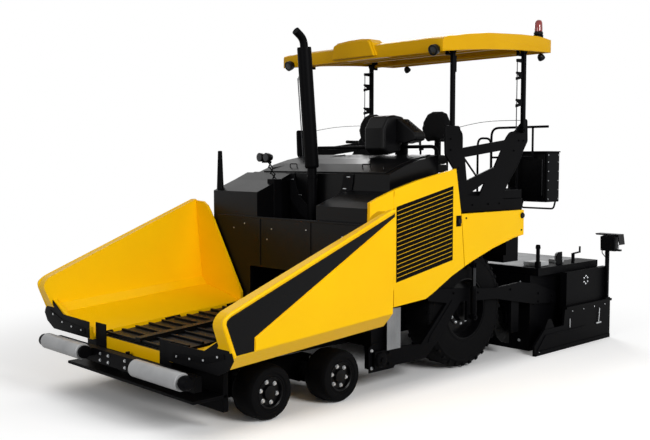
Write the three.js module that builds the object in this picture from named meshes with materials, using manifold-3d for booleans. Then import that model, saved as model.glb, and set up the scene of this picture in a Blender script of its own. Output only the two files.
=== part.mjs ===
// Wheeled asphalt paver: tractor with hopper, operator's platform, roof and a sliding paving screed.
// Millimetres, +Z up, the front of the machine towards -Y and its left side towards +X.
// Origin: on the ground, at the middle of the machine's length and width.
import * as THREE from 'three';
import { mergeGeometries, mergeVertices } from 'three/addons/utils/BufferGeometryUtils.js';
import Module from 'manifold-3d';

const wasm = await Module();
wasm.setup();

// ---------------------------------------------------------------- driving dimensions
const HALF_LENGTH = 3452;
const GAP = 0.3; // between pieces that touch

const FRONT_WHEEL = { y: [-2400, -1493], radius: 260, inner: 930, outer: 1230, kingpin: 800 };
const REAR_WHEEL = { y: 608, radius: 683, inner: 760, outer: 1145 };
const CONVEYOR = { half: 600, thick: 150, front: -3050, rear: 1345, top: 640, rise: 0.0666 };
const FRAME = {
  inner: CONVEYOR.half + GAP, outer: 670, bottom: 430, front: -3085, rear: 1380, deck: 1210, wing: 1190,
    plate: 30,
};
const HINGE = { x: 700, z: 610, y: -3150 }; // hopper wing hinge, it climbs to the rear with the conveyor
const WING = { front: -3150, rear: -1190, top: 2200 };
const BACK_WALL = { y: -1168, thick: 25, half: 1290, top: 1750 };
const HOOD = { half: 1215, front: -1140, step: -650, rear: 150, wall: 25 };
const PANEL = { inner: 1230, outer: 1265 };
const PLATFORM = { half: 1180, tail: 600, front: 180, waist: 1640, rear: 2430, bottom: 1790, floor: 1930 };
const GUARD = { inner: 1196, outer: 1216 };
const POST = {
  front: { inner: 1146, outer: 1190, y: 280, pivot: 2665 },
    rear: { inner: 1222, outer: 1270, y: 1530, pivot: 2745 },
  length: 930,
};
const ROOF = { half: 1296, front: -50, rear: 2040, low: 3555, slope: 0.0696, skin: 12 };
const BEACON = { x: 1200, y: 1900, z: 3915, radius: 62 };
const TOW = { y: -900, z: 330, inner: 1165, outer: 1195 };
const LIFT = { y: 600, low: 600, high: 1200, x: 1245, barrel: 36, rod: 22, pin: 18 };
const AUGER = { y: 1560, z: 330, radius: 200, shaft: 45, inner: 125, outer: 1105, pitch: 330 };
const SEAT_AT = { x: 530, y: 340 };
const SCREED = { half: 1150, front: 1880, rear: 2700, plate: 60, top: 950, deck: 1040 };
const EXTENSION = { front: 2740, rear: 3300, inner: 20, outer: 1300, top: 500, tubeY: 2860, tubeR: 40 };
const END_PLATE = { inner: 1350, outer: 1380, front: 1650 };
const ROLLER = { y: -3372, z: 525, radius: 80, inner: 474, outer: 1213 };
const BEAM = { y: [-3280, -3200], z: [420, 555], half: 1249, pivotY: -3160 };

// ---------------------------------------------------------------- materials
const finish = (color, roughness, metalness = 0) =>
  new THREE.MeshStandardMaterial({ color, roughness, metalness });
const YELLOW = finish(0xfdbb13, 0.4);
const BLACK = finish(0x1b1c1e, 0.5);
const GREY = finish(0xb4b5b4, 0.55);
const RUBBER = finish(0x1d1d1e, 0.9);
const STEEL = finish(0x9a9da0, 0.35, 0.9);
const CHROME = finish(0xd9dadb, 0.1, 1);
const SEAT = finish(0x2b2a27, 0.8);
const LAMP = finish(0xc23a12, 0.2);

// ---------------------------------------------------------------- shape helpers
// A closed mesh becomes a solid that can be joined and cut.
function solid(geometry) {
  const bare = new THREE.BufferGeometry();
  bare.setAttribute('position', geometry.getAttribute('position').clone());
  if (geometry.index) bare.setIndex(geometry.index.clone());
  const merged = mergeVertices(bare, 1e-3);
  return new wasm.Manifold(new wasm.Mesh({
    numProp: 3,
    vertProperties: new Float32Array(merged.getAttribute('position').array),
    triVerts: new Uint32Array(merged.index.array),
  }));
}

const join = (...parts) => parts.flat().reduce((sum, part) => sum.add(part));
const cut = (body, ...tools) => tools.flat().reduce((rest, tool) => rest.subtract(tool), body);

function box(x, y, z) {
  const geometry = new THREE.BoxGeometry(x[1] - x[0], y[1] - y[0], z[1] - z[0]);
  geometry.translate((x[0] + x[1]) / 2, (y[0] + y[1]) / 2, (z[0] + z[1]) / 2);
  return solid(geometry);
}

const shapeOf = (points) => new THREE.Shape(points.map(([a, b]) => new THREE.Vector2(a, b)));

// A side outline of (y, z) points, as thick as the span x, with (y, z) outlines cut through it.
function sidePlate(points, x, holes = []) {
  const geometry = new THREE.ExtrudeGeometry(shapeOf(points), { depth: x[1] - x[0], bevelEnabled: false });
  geometry.rotateY(Math.PI / 2); // (a, b, depth) -> (depth, b, -a)
  geometry.rotateX(Math.PI / 2); // -> (depth, a, b)
  geometry.translate(x[0], 0, 0);
  return cut(solid(geometry), holes.map((hole) => sidePlate(hole, [x[0] - 1, x[1] + 1])));
}

// A front outline of (x, z) points, as thick as the span y.
function frontPlate(points, y, holes = []) {
  const geometry = new THREE.ExtrudeGeometry(shapeOf(points), { depth: y[1] - y[0], bevelEnabled: false });
  geometry.rotateX(Math.PI / 2);
  geometry.translate(0, y[1], 0);
  return cut(solid(geometry), holes.map((hole) => frontPlate(hole, [y[0] - 1, y[1] + 1])));
}

const UPRIGHT = new THREE.Vector3(0, 1, 0);

// A round bar between two points.
function bar(from, to, radius, sides = 12) {
  const start = new THREE.Vector3(...from);
  const end = new THREE.Vector3(...to);
  const way = end.clone().sub(start);
  const geometry = new THREE.CylinderGeometry(radius, radius, way.length(), sides);
  geometry.applyQuaternion(new THREE.Quaternion().setFromUnitVectors(UPRIGHT, way.normalize()));
  geometry.translate(...start.add(end).multiplyScalar(0.5).toArray());
  return solid(geometry);
}

// A bent tube: a round section swept along straight runs with short rounded corners.
function bentTube(points, radius, bend = 60, sides = 8) {
  const path = new THREE.CurvePath();
  const at = points.map((p) => new THREE.Vector3(...p));
  let last = at[0];
  for (let i = 1; i < at.length - 1; i += 1) {
    const before = at[i].clone().add(at[i - 1].clone().sub(at[i]).setLength(bend));
    const after = at[i].clone().add(at[i + 1].clone().sub(at[i]).setLength(bend));
    path.add(new THREE.LineCurve3(last, before));
    path.add(new THREE.QuadraticBezierCurve3(before, at[i], after));
    last = after;
  }
  path.add(new THREE.LineCurve3(last, at[at.length - 1]));
  const ring = [];
  for (let i = 0; i < sides; i += 1) {
    const a = (i / sides) * 2 * Math.PI;
    ring.push([radius * Math.cos(a), radius * Math.sin(a)]);
  }
  const steps = (at.length - 1) * 6;
  return solid(new THREE.ExtrudeGeometry(shapeOf(ring), { steps, extrudePath: path, bevelEnabled: false }));
}

// A turned piece on an axle along X: profile points are (radius, x).
function turned(profile, y, z, sides = 32) {
  const points = profile.map(([r, x]) => new THREE.Vector2(r, x));
  const geometry = new THREE.LatheGeometry([...points, points[0].clone()], sides);
  geometry.rotateZ(-Math.PI / 2);
  geometry.translate(0, y, z);
  return fixInside(geometry);
}

// Turns a closed mesh the right way out where its profile ran the other way.
function fixInside(geometry) {
  const body = solid(geometry);
  if (body.volume() > 0) return body;
  const flipped = geometry.clone();
  const index = flipped.index.array;
  for (let i = 0; i < index.length; i += 3) [index[i], index[i + 1]] = [index[i + 1], index[i]];
  return solid(flipped);
}

// A solid between outlines of equal point count that stand at different heights along one axis.
// stations: [{ at, outline: [[a, b], ...] }], place(a, b, at) -> [x, y, z]
function loft(stations, place) {
  const count = stations[0].outline.length;
  const position = [];
  const index = [];
  for (const { at, outline } of stations) for (const [a, b] of outline) position.push(...place(a, b, at));
  for (let s = 0; s < stations.length - 1; s += 1) {
    for (let i = 0; i < count; i += 1) {
      const j = (i + 1) % count;
      const [p, q, r, t] = [s * count + i, s * count + j, (s + 1) * count + i, (s + 1) * count + j];
      index.push(p, q, t, p, t, r);
    }
  }
  const cap = THREE.ShapeUtils.triangulateShape(stations[0].outline.map(([a, b]) => new THREE.Vector2(a,
    b)), []);
  const top = (stations.length - 1) * count;
  for (const [a, b, c] of cap) index.push(c, b, a, a + top, b + top, c + top);
  const geometry = new THREE.BufferGeometry();
  geometry.setAttribute('position', new THREE.Float32BufferAttribute(position, 3));
  geometry.setIndex(index);
  return fixInside(geometry);
}
const alongY = (a, b, at) => [a, at, b];

// The same solid on the other side of the machine.
function mirrored(body) {
  return body.mirror([1, 0, 0]);
}
const onSide = (body, side) => (side === 'left' ? body : mirrored(body));

const paver = new THREE.Group();
function piece(name, material, body) {
  const { vertProperties, triVerts } = body.getMesh();
  const geometry = new THREE.BufferGeometry();
  geometry.setAttribute('position', new THREE.Float32BufferAttribute(vertProperties, 3));
  geometry.setIndex(new THREE.Uint32BufferAttribute(triVerts, 1));
  geometry.computeVertexNormals();
  const mesh = new THREE.Mesh(geometry, material);
  mesh.name = name;
  paver.add(mesh);
}
const bothSides = (name, material, body) => {
  for (const side of ['left', 'right']) piece(`${name}_${side}`, material, onSide(body, side));
};

// Height of the conveyor's top, and of anything that climbs with it, at a place along the machine.
const climb = (z, y) => z + (y - CONVEYOR.front) * CONVEYOR.rise;

// ---------------------------------------------------------------- main frame
function mainFrame() {
  const { inner, outer, bottom, front, rear, deck, wing, plate } = FRAME;
  const bay = BACK_WALL.y + BACK_WALL.thick + GAP;
  const side = [
    [front, bottom], [front, 600], [bay, 740], [bay, deck + plate], [rear, deck + plate], [rear, 600],
      [1000, bottom],
  ];
  const rails = [sidePlate(side, [inner, outer]), sidePlate(side, [-outer, -inner])];
  const across = (y, z, half = outer) => box([-half, half], y, z);
  const underConveyor = [front + 250, -1000, -100, 900].map((y) => across([y, y + 90],
    [bottom, bottom + 50]));
  const nose = across([front, front + plate], [bottom, 480]);
  const pivotLug = box([-45, 45], [BEAM.pivotY - 28, front + 10], [bottom, bottom + 20]);
  const pivotPin = bar([0, BEAM.pivotY, bottom + 10], [0, BEAM.pivotY, BEAM.z[1] + 10], 22);
  const roof = across([bay, rear], [deck, deck + plate]);
  const bayFloor = across([bay, -330], [deck, deck + plate], wing);
  // Arches over the rear wheels.
  const arch = (sign) => {
    const span = (a, b) => (sign > 0 ? [a, b] : [-b, -a]);
    return [
      box(span(690, 720), [-360, 1330], [deck, 1450]),
      box(span(outer - 10, 720), [-360, rear - 50], [deck, deck + plate]),
      box(span(690, wing), [-360, 1330], [1420, 1450]),
      box(span(690, wing), [-360, -330], [deck, 1450]),
      box(span(690, wing), [1300, 1330], [1250, 1450]),
    ];
  };
  // Guides that hold the tow points, each on an outrigger.
  const towGuide = (sign) => {
    const span = (a, b) => (sign > 0 ? [a, b] : [-b, -a]);
    return [
      box(span(outer - 5, 1150), [-860, -640], [bottom, 560]),
      box(span(1060, 1150), [-1000, -640], [230, 900]),
      bar([sign * 1100, TOW.y, TOW.z], [sign * 1240, TOW.y, TOW.z], 30, 16),
      box(span(1060, 1150), [-700, -640], [850, deck + plate]),
    ];
  };
  const rearWall = frontPlate([[-outer, 600], [outer, 600], [outer, deck + plate], [-outer, deck + plate]],
    [rear - plate, rear], [[[-590, 720], [590, 720], [590, 1150], [-590, 1150]]]);
  // Stand for the platform at the rear and posts for the lift cylinders' upper pins.
  const stands = [1, -1].flatMap((sign) => {
    const span = (a, b) => (sign > 0 ? [a, b] : [-b, -a]);
    return [
      box(span(600, 690), [1290, rear], [deck, PLATFORM.bottom - GAP]),
      box(span(600, 690), [200, 290], [deck, PLATFORM.bottom - GAP]),
      box(span(1100, 1190), [1240, 1330], [1430, PLATFORM.bottom - GAP]),
      box(span(1150, 1190), [540, 660], [1150, 1440]),
      bar([sign * 1160, LIFT.y, LIFT.high], [sign * 1290, LIFT.y, LIFT.high], LIFT.pin),
    ];
  });
  const rearBox = box([-1100, 1100], [rear - 5, rear + 300], [1150, PLATFORM.bottom - GAP]);
  return join(rails, underConveyor, nose, pivotLug, pivotPin, roof, bayFloor, arch(1), arch(-1),
    towGuide(1),
    towGuide(-1), rearWall, stands, rearBox);
}
piece('main_frame', BLACK, mainFrame());
piece('engine', BLACK, box([-550, 550], [-560, 90], [FRAME.deck + FRAME.plate + GAP, 2000]));

// ---------------------------------------------------------------- conveyor, hopper back wall, apron
function conveyors() {
  const { half, thick, front, rear, top } = CONVEYOR;
  const run = [[front, top - thick], [front, top], [rear, climb(top, rear)],
    [rear, climb(top, rear) - thick]];
  const belts = [sidePlate(run, [15, half]), sidePlate(run, [-half, -15])];
  const ridge = [[front, top - 60], [front, top + 40], [rear, climb(top, rear) + 40],
    [rear, climb(top, rear) - 60]];
  return join(belts, sidePlate(ridge, [-40, 40]));
}
piece('conveyors', STEEL, conveyors());

function backWall() {
  const { y, thick, half, top } = BACK_WALL;
  const floor = climb(CONVEYOR.top, y);
  const outline = [[-half, 900], [-half, top], [half, top], [half, 900], [690, floor], [-690, floor]];
  const mouth = [[-605, floor - 20], [605, floor - 20], [605, 1180], [-605, 1180]];
  const shelf = box([-470, 470], [y, HOOD.step - 8], [1600, 1625]);
  return join(frontPlate(outline, [y, y + thick], [mouth]), shelf);
}
piece('hopper_back_wall', BLACK, backWall());

function apron() {
  const [y0, y1] = [FRAME.front - 20, FRAME.front - GAP];
  return box([-640, 640], [y0, y1], [452, 640]);
}
piece('front_apron', RUBBER, apron());

// ---------------------------------------------------------------- hopper wings
function hopperWing() {
  const { front, rear, top } = WING;
  const section = (rise) => [
    [HINGE.x + 12, 575 + rise], [1500, 630 + rise], [1620, 767 + rise], [1660, top],
    [1622, top], [1470, 850 + rise], [1380, 770 + rise], [HINGE.x + 12, 640 + rise],
  ];
  const reach = 200;
  const rise = (y) => (y - front) * CONVEYOR.rise;
  const channel = loft([front - reach, rear + reach].map((at) => ({ at, outline: section(rise(at)) })),
    alongY);
  // Side view of the wing: level floor, upright rear, sloping rim and a rounded nose.
  const nose = new THREE.QuadraticBezierCurve(new THREE.Vector2(-3255, 1010),
    new THREE.Vector2(-3275, 1090),
    new THREE.Vector2(-3190, 1142)).getPoints(5).map((p) => [p.x, p.y]);
  const outline = [[-3135, 500], [-3150, 760], ...nose, [rear - 30, 1915], [rear, 1890], [rear, 500]];
  const body = channel.intersect(sidePlate(outline, [0, 1700]));
  // Plate that closes the wing's rear in front of the back wall.
  const low = climb(640, rear);
  const gusset = [[HINGE.x + 15, low - 40], [HINGE.x + 15, 870], [1300, 1770], [1360, 1845], [1440, 1890],
    [1622, 1900], [1622, 900],
    [1450, low]];
  // Rubber strip that closes the front between the wing and the roller beam.
  const flap = [[HINGE.x + 15, 585], [HINGE.x + 15, 700], [1200, 770], [1560, 940], [1622, 940],
    [1622, 760], [1500, 640]];
  const knuckles = [0.06, 0.5, 0.94].map((t) => {
    const y = front + 60 + t * (rear - front - 120);
    return bar([HINGE.x + 4, y - 60, HINGE.z + rise(y - 60)],
      [HINGE.x + 4, y + 60, HINGE.z + rise(y + 60)], 22, 12);
  });
  return join(body, frontPlate(gusset, [rear - 30, rear]), frontPlate(flap, [-3165, -3120]), knuckles);
}
bothSides('hopper_wing', YELLOW, hopperWing());

// ---------------------------------------------------------------- push rollers
function pushBeam() {
  const { y, z, half, pivotY } = BEAM;
  const body = box([-half, half], y, z);
  const lug = join(box([-45, 45], [y[1] - 10, pivotY], [z[0] + 65, z[1] - 20]),
    bar([0, pivotY, z[0] + 65], [0, pivotY, z[1] - 20], 45));
  const ends = [ROLLER.inner - 22, ROLLER.outer + 22].flatMap((x) => [x, -x]).map((x) => {
    const web = box([x - 14, x + 14], [ROLLER.y, y[0] + 5], [ROLLER.z - 45, z[1]]);
    return join(web, bar([x - 14, ROLLER.y, ROLLER.z], [x + 14, ROLLER.y, ROLLER.z], 60));
  });
  const caps = [1, -1].map((s) => bar([s * (ROLLER.outer + 30), ROLLER.y, ROLLER.z],
    [s * (ROLLER.outer + 90), ROLLER.y, ROLLER.z], 45));
  return cut(join(body, lug, ends, caps), bar([0, pivotY, z[0] - 50], [0, pivotY, z[1] + 50], 25));
}
piece('push_beam', BLACK, pushBeam());

function roller() {
  const { inner, outer, radius } = ROLLER;
  return turned([[0, inner], [radius, inner], [radius, outer], [0, outer]], ROLLER.y, ROLLER.z, 24);
}
bothSides('push_roller', STEEL, roller());

// ---------------------------------------------------------------- front axle and wheels
function frontAxle() {
  const [first, second] = FRONT_WHEEL.y;
  const middle = (first + second) / 2;
  const beam = box([-560, 560], [middle - 110, middle + 110], [320, 430 - GAP]);
  const bogies = [1, -1].map((s) => {
    const span = (a, b) => (s > 0 ? [a, b] : [-b, -a]);
    const rail = sidePlate([
      [first - 90, 340], [first - 90, 390], [second + 90, 390], [second + 90, 340],
      [second + 90, 130], [second - 90, 130], [middle + 160, 220], [middle - 160, 220], [first + 90, 130],
        [first - 90, 130],
    ], span(550, 690));
    const lugs = FRONT_WHEEL.y.flatMap((y) => [[345, 385], [130, 165]].map((z) => {
      const arm = join(box(span(680, FRONT_WHEEL.kingpin), [y - 58, y + 58], z),
        bar([s * FRONT_WHEEL.kingpin, y, z[0]], [s * FRONT_WHEEL.kingpin, y, z[1]], 58));
      return cut(arm, bar([s * FRONT_WHEEL.kingpin, y, z[0] - 5], [s * FRONT_WHEEL.kingpin, y, z[1] + 5],
        30));
    }));
    return join(rail, lugs);
  });
  return join(beam, bogies);
}
piece('front_axle', BLACK, frontAxle());

function knuckle(y) {
  const { kingpin, radius } = FRONT_WHEEL;
  const post = bar([kingpin, y, 173], [kingpin, y, 337], 52);
  const pin = bar([kingpin, y, 135], [kingpin, y, 380], 26);
  const neck = bar([kingpin, y, radius], [890, y, radius], 68);
  const motor = bar([878, y, radius], [1040, y, radius], 130, 20);
  const spindle = bar([1030, y, radius], [1160, y, radius], 40);
  return join(post, pin, neck, motor, spindle);
}

function frontWheel(y) {
  const { radius, inner, outer } = FRONT_WHEEL;
  const shoulder = 35;
  const profile = [
    [44, 1085], [150, 1085], [150, inner + 5], [radius - shoulder, inner], [radius, inner + shoulder],
    [radius, outer - shoulder], [radius - shoulder, outer], [165, outer], [150, 1195], [44, 1195],
  ];
  return turned(profile, y, radius, 24);
}

FRONT_WHEEL.y.forEach((y, i) => {
  const place = ['front', 'middle'][i];
  bothSides(`knuckle_${place}`, BLACK, knuckle(y));
  bothSides(`wheel_${place}`, RUBBER, frontWheel(y));
});

// ---------------------------------------------------------------- rear drive and wheels
function finalDrive() {
  const { y, radius, inner } = REAR_WHEEL;
  return join(bar([FRAME.outer + GAP, y, radius], [inner + 20, y, radius], 230, 20),
    bar([inner, y, radius], [985, y, radius], 170, 20),
    bar([980, y, radius], [1050, y, radius], 60));
}
bothSides('final_drive', BLACK, finalDrive());

function rearWheel() {
  const { y, radius, inner, outer } = REAR_WHEEL;
  const profile = [
    [64, 1000], [215, 1000], [320, 930], [350, inner + 12], [600, inner], [radius, inner + 70],
    [radius, outer - 70], [600, outer], [350, outer - 12], [320, 1040], [170, 1030], [150, 1110],
      [64, 1110],
  ];
  return turned(profile, y, radius, 32);
}
bothSides('wheel_rear', RUBBER, rearWheel());

// ---------------------------------------------------------------- hood, side panels and doors
// Side views of the hood's top and of the side panels' top edge, both slightly crowned.
const HOOD_LINE = [[-1168, 2026], [-850, 2150], [-630, 2245], [-400, 2330], [-170, 2390], [150, 2445]];
const PANEL_LINE = [[-1168, 1953], [-1010, 2012], [-735, 2096], [-415, 2174], [-110, 2231], [235, 2293]];
const heightOn = (line) => (y) => {
  const next = Math.max(1, line.findIndex(([at], i) => at >= y || i === line.length - 1));
  const [[y0, z0], [y1, z1]] = [line[next - 1], line[next]];
  return z0 + ((y - y0) * (z1 - z0)) / (y1 - y0);
};
const hoodTop = heightOn(HOOD_LINE);
const panelTop = heightOn(PANEL_LINE);
const topEdge = (line, from, to, drop) => {
  const height = heightOn(line);
  const between = line.map(([at]) => at).filter((at) => at > from + 1 && at < to - 1);
  return [from, ...between, to].map((at) => [at, height(at) - drop]);
};

function hood() {
  const { half, front, step, rear, wall } = HOOD;
  const base = FRAME.deck + FRAME.plate + GAP;
  const centre = (inset) => sidePlate([
    [step + inset, base], ...topEdge(HOOD_LINE, step + inset, rear - inset, inset), [rear - inset, base],
  ], [-1080 + inset, 1080 - inset]);
  const rightNose = (inset, open) => sidePlate([
    [front + inset, base], ...topEdge(HOOD_LINE, front + inset, step + open, inset), [step + open, base],
  ], [-half + 40 + inset, -475 - inset]);
  const leftNose = (inset, open) => sidePlate([
    [front + inset, base], ...topEdge(PANEL_LINE, front + inset, step + open, 60 + inset),
      [step + open, base],
  ], [475 + inset, half - inset]);
  const sides = (inset) => [1, -1].map((s) => sidePlate([
    [step + inset, base], ...topEdge(PANEL_LINE, step + inset, rear - inset, 40 + inset),
      [rear - inset, base],
  ], s > 0 ? [1000, half - inset] : [-half + inset, -1000]));
  const shell = join(centre(0), rightNose(0, 20), leftNose(0, 20), sides(0));
  const hollow = join(centre(wall), rightNose(wall, 60), leftNose(wall, 60), sides(wall));
  // Side walls are open behind the doors.
  const bays = [1, -1].map((s) => sidePlate([
    [-640, base + 30], [-640, 1900], [110, 2080], [110, base + 30],
  ], s > 0 ? [half - 60, half + 20] : [-half - 20, -half + 60]));
  const under = box([-half + 1, half - 1], [front + wall, rear - wall], [base - 10, base + 0.5]);
  // Brow over the right nose: a front plate as wide as the back wall and a lip over the side panel.
  const brow = [
    sidePlate([[BACK_WALL.y, 1751], [BACK_WALL.y, hoodTop(BACK_WALL.y)], [front + 1, hoodTop(front + 1)],
      [front + 1, 1751]], [-1175, -475]),
    box([-BACK_WALL.half, -1170], [BACK_WALL.y, BACK_WALL.y + BACK_WALL.thick], [1751, 2010]),
    sidePlate([...topEdge(HOOD_LINE, BACK_WALL.y, step, 0),
      ...topEdge(HOOD_LINE, BACK_WALL.y, step, 30).reverse()],
      [-BACK_WALL.half, -1170]),
  ];
  const sight = bar([-1250, front + 40, hoodTop(front) - 10], [-1250, front + 40, 2490], 26, 8);
  // Notches over the wheel arches.
  const arches = [1, -1].map((s) => box(s > 0 ? [660, half + 20] : [-half - 20, -660], [-368, rear + 10],
    [base - 10, 1450 + GAP]));
  return join(cut(shell, hollow, bays, under, arches), brow, sight);
}
piece('hood', GREY, hood());

function panelFront() {
  const front = BACK_WALL.y + BACK_WALL.thick + GAP;
  const skin = sidePlate([[front, 875], ...topEdge(PANEL_LINE, front, -790, 0), [-790, 872]],
    [PANEL.inner, PANEL.outer]);
  return join(skin, box([HOOD.half + GAP, PANEL.inner + 5], [-1130, -1050], [1300, 1850]));
}
bothSides('side_panel_front', YELLOW, panelFront());

// Lower edge of the yellow side, level at first and then climbing over the rear wheel.
const ARCH = [[-780, 872], [-270, 905], [-160, 950], [184, 1116], [551, 1251], [937, 1369], [1346, 1464],
  [1550, 1490]];

function sideDoor() {
  const lower = ARCH.filter(([y]) => y < 300).concat([[395, 1195]]);
  return sidePlate([...lower, [330, 1795], ...topEdge(PANEL_LINE, -780, 235, 0).reverse()],
    [PANEL.inner, PANEL.outer]);
}
bothSides('side_door', YELLOW, sideDoor());

function panelRear() {
  const lower = ARCH.filter(([y]) => y > 500);
  const skin = sidePlate([[405, 1200], ...lower, [1550, 1790], [340, 1790]], [PANEL.inner, PANEL.outer]);
  return join(skin, box([1190 + GAP, PANEL.inner + 5], [1240, 1330], [1520, 1780]));
}
bothSides('side_panel_rear', YELLOW, panelRear());

// ---------------------------------------------------------------- exhaust
function exhaust() {
  const x = -35;
  const y = (z) => -725 - Math.max(0, z - 2333) * 0.09;
  const lower = bar([x, y(1630), 1630], [x, y(2330), 2330], 54);
  const stack = bar([x, y(2300), 2300], [x, y(3640), 3640], 80, 16);
  const outlet = bentTube([[x, y(3600), 3600], [x, y(3740), 3740], [x, y(3740) - 115, 3815]], 45, 70);
  return join(lower, stack, outlet);
}
piece('exhaust_stack', BLACK, exhaust());

// ---------------------------------------------------------------- platform
function platform() {
  const { half, tail, front, waist, rear, bottom, floor } = PLATFORM;
  const landing = floor - 10;
  const tray = [
    box([-half, half], [front, waist], [bottom, floor]),
    box([-tail, tail], [waist - 5, rear], [bottom, landing]),
  ];
  // Front rail that the console slides on.
  const foot = floor - 20;
  const rail = bentTube([[-1000, 215, foot], [-1000, 215, 2540], [1000, 215, 2540], [1000, 215, foot]], 20);
  // Rear railing on both sides of the ladder, the left one reaching out over the cabinet.
  const y = rear - 40;
  const railing = [
    bentTube([[170, y, foot], [170, y, 2815], [1050, y, 2815]], 16, 90),
    bar([585, y, foot], [585, y, 2815], 14, 8),
    bar([820, y, 2406], [820, y, 2815], 14, 8),
    bar([170, y, 2420], [830, y, 2420], 14, 8),
    bentTube([[-330, y, foot], [-330, y, 2815], [-585, y, 2815], [-585, y, foot]], 16, 90),
  ];
  // Hoops beside the landing.
  const hoops = [1, -1].map((s) => bentTube([
    [s * 585, 1530, foot], [s * 585, 1530, 2660], [s * 585, 1810, 2660], [s * 585, 1810, foot],
  ], 14, 90));
  const ladder = [[110, 150], [-310, -270]].map((x) => box(x, [rear - 60, rear], [1580, landing - 5]));
  const rungs = [1600, 1760].map((z) => box([-310, 150], [rear - 60, rear], [z, z + 30]));
  return join(tray, rail, railing, hoops, ladder, rungs);
}
piece('platform', BLACK, platform());

function sideGuard() {
  const outline = [
    [300, 1935], [300, 2250], [273, 2283], [116, 2451], [104, 2755], [350, 2755], [399, 2512], [1226, 2612],
    [1265, 2659], [1325, 2708], [1417, 2720], [1610, 2868], [1664, 2871], [1675, 2618], [1579, 2492],
      [1499, 2352],
    [1308, 2151], [1200, 2011], [1185, 1935],
  ];
  const holes = [
    [[450, 2420], [1150, 2500], [1014, 2310], [490, 2160]],
    [[490, 1988], [830, 2130], [724, 1981]],
  ];
  const plate = sidePlate(outline, [GUARD.inner, GUARD.outer], holes);
  const pins = [POST.front, POST.rear].map(({ inner, outer, y, pivot }) => bar(
    [Math.min(inner - 8, GUARD.inner + 5), y, pivot], [Math.max(outer + 10, GUARD.outer - 5), y, pivot], 14,
  ));
  const feet = box([PLATFORM.half + GAP, GUARD.outer], [300, 1190], [1800, 1940]);
  return join(plate, pins, feet);
}
bothSides('side_guard', BLACK, sideGuard());

function seat() {
  const { x, y } = SEAT_AT;
  const base = box([x - 110, x + 110], [y + 90, y + 330], [PLATFORM.floor + GAP, 2340]);
  const cushion = box([x - 240, x + 240], [y, y + 460], [2330, 2450]);
  const back = sidePlate([[y + 380, 2440], [y + 420, 3005], [y + 500, 3005], [y + 480, 2440]],
    [x - 230, x + 230]);
  return join(base, cushion, back);
}
bothSides('seat', SEAT, seat());

function sideConsole() {
  const pod = sidePlate([[-60, 2440], [-150, 2500], [-150, 2760], [-60, 2890], [60, 2905], [200, 2890],
    [330, 2720],
    [330, 2585], [180, 2585], [150, 2480]], [225, 525]);
  const desk = sidePlate([[60, 2600], [70, 2790], [160, 2830], [250, 2740], [250, 2600]], [515, 815]);
  const leg = box([340, 480], [245, 320], [2300, 2620]);
  return join(pod, desk, leg);
}
piece('console', BLACK, sideConsole());

function cabinet() {
  return join(box([400, 1000], [2440, 2750], [1840, 2490]),
    box([450, 950], [PLATFORM.rear + GAP, 2445], [1850, 1920]));
}
piece('rear_cabinet', BLACK, cabinet());

// ---------------------------------------------------------------- roof and its folding posts
function posts({ inner, outer, y, pivot }) {
  const top = pivot + POST.length;
  const post = (s) => {
    const span = s > 0 ? [inner, outer] : [-outer, -inner];
    const shaft = box(span, [y - 25, y + 25], [pivot, top]);
    const eyes = [pivot, top].map((z) => bar([span[0], y, z], [span[1], y, z], 34));
    return cut(join(shaft, eyes), bar([span[0] - 5, y, pivot], [span[1] + 5, y, pivot], 17));
  };
  // The tube between the tops is also the pin that the roof turns on.
  const tie = bar([-inner - 5, y, top], [inner + 5, y, top], 22, 16);
  return join(post(1), post(-1), tie);
}
piece('roof_posts_front', BLACK, posts(POST.front));
piece('roof_posts_rear', BLACK, posts(POST.rear));

function roof() {
  const { half, front, rear, slope, skin } = ROOF;
  const low = (y) => ROOF.low + y * slope;
  const section = (y, edge) => {
    const z = low(y);
    return [
      [-half, z], [half, z], [half, z + edge], [half - 150, z + edge + 25], [-half + 150, z + edge + 25],
        [-half, z + edge],
    ];
  };
  const stations = [[front, 125], [front + 60, 155], [400, 195], [800, 213], [1400, 208],
    [rear - 60, 175], [rear, 150]]
    .map(([at, edge]) => ({ at, outline: section(at, edge) }));
  const shell = loft(stations, alongY);
  const hollow = loft([front + 40, rear - 40].map((at) => ({
    at,
    outline: [
      [-half + skin, low(at) - 5], [half - skin, low(at) - 5], [half - skin, low(at) + 85],
        [half - 140, low(at) + 130],
      [-half + 140, low(at) + 130], [-half + skin, low(at) + 85],
    ],
  })), alongY);
  const sign = sidePlate([[front - 45, low(front) + 5], [front - 40, low(front) + 195],
    [front + 120, low(front) + 215],
    [front + 200, low(front) + 60]], [-366, 460]);
  const lamps = [
    ...[1205, -1131].map((x) => bar([x, front - 65, low(front) + 20], [x, front + 20, low(front) + 20],
      56, 16)),
    ...[1185, -990].map((x) => bar([x, rear - 55, low(rear) - 80], [x, rear - 55, low(rear) + 145], 45,
      16)),
  ];
  // Cheeks inside the posts, bored for the tubes between the posts' tops.
  const cheeks = [POST.front, POST.rear].flatMap(({ inner, y, pivot }) => {
    const z = pivot + POST.length;
    return [1, -1].map((s) => cut(
      box(s > 0 ? [inner - 52, inner - 22] : [22 - inner, 52 - inner], [y - 48, y + 48],
        [z - 48, low(y) + 140]),
      bar([s * (inner - 62), y, z], [s * (inner - 12), y, z], 26, 16),
    ));
  });
  const pad = bar([BEACON.x, BEACON.y, low(BEACON.y) + 150], [BEACON.x, BEACON.y, BEACON.z], 50);
  return join(cut(shell, hollow), sign, lamps, cheeks, pad);
}
piece('roof', YELLOW, roof());
piece('beacon', LAMP, bar([BEACON.x, BEACON.y, BEACON.z + GAP], [BEACON.x, BEACON.y, BEACON.z + 180],
  BEACON.radius, 16));

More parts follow.
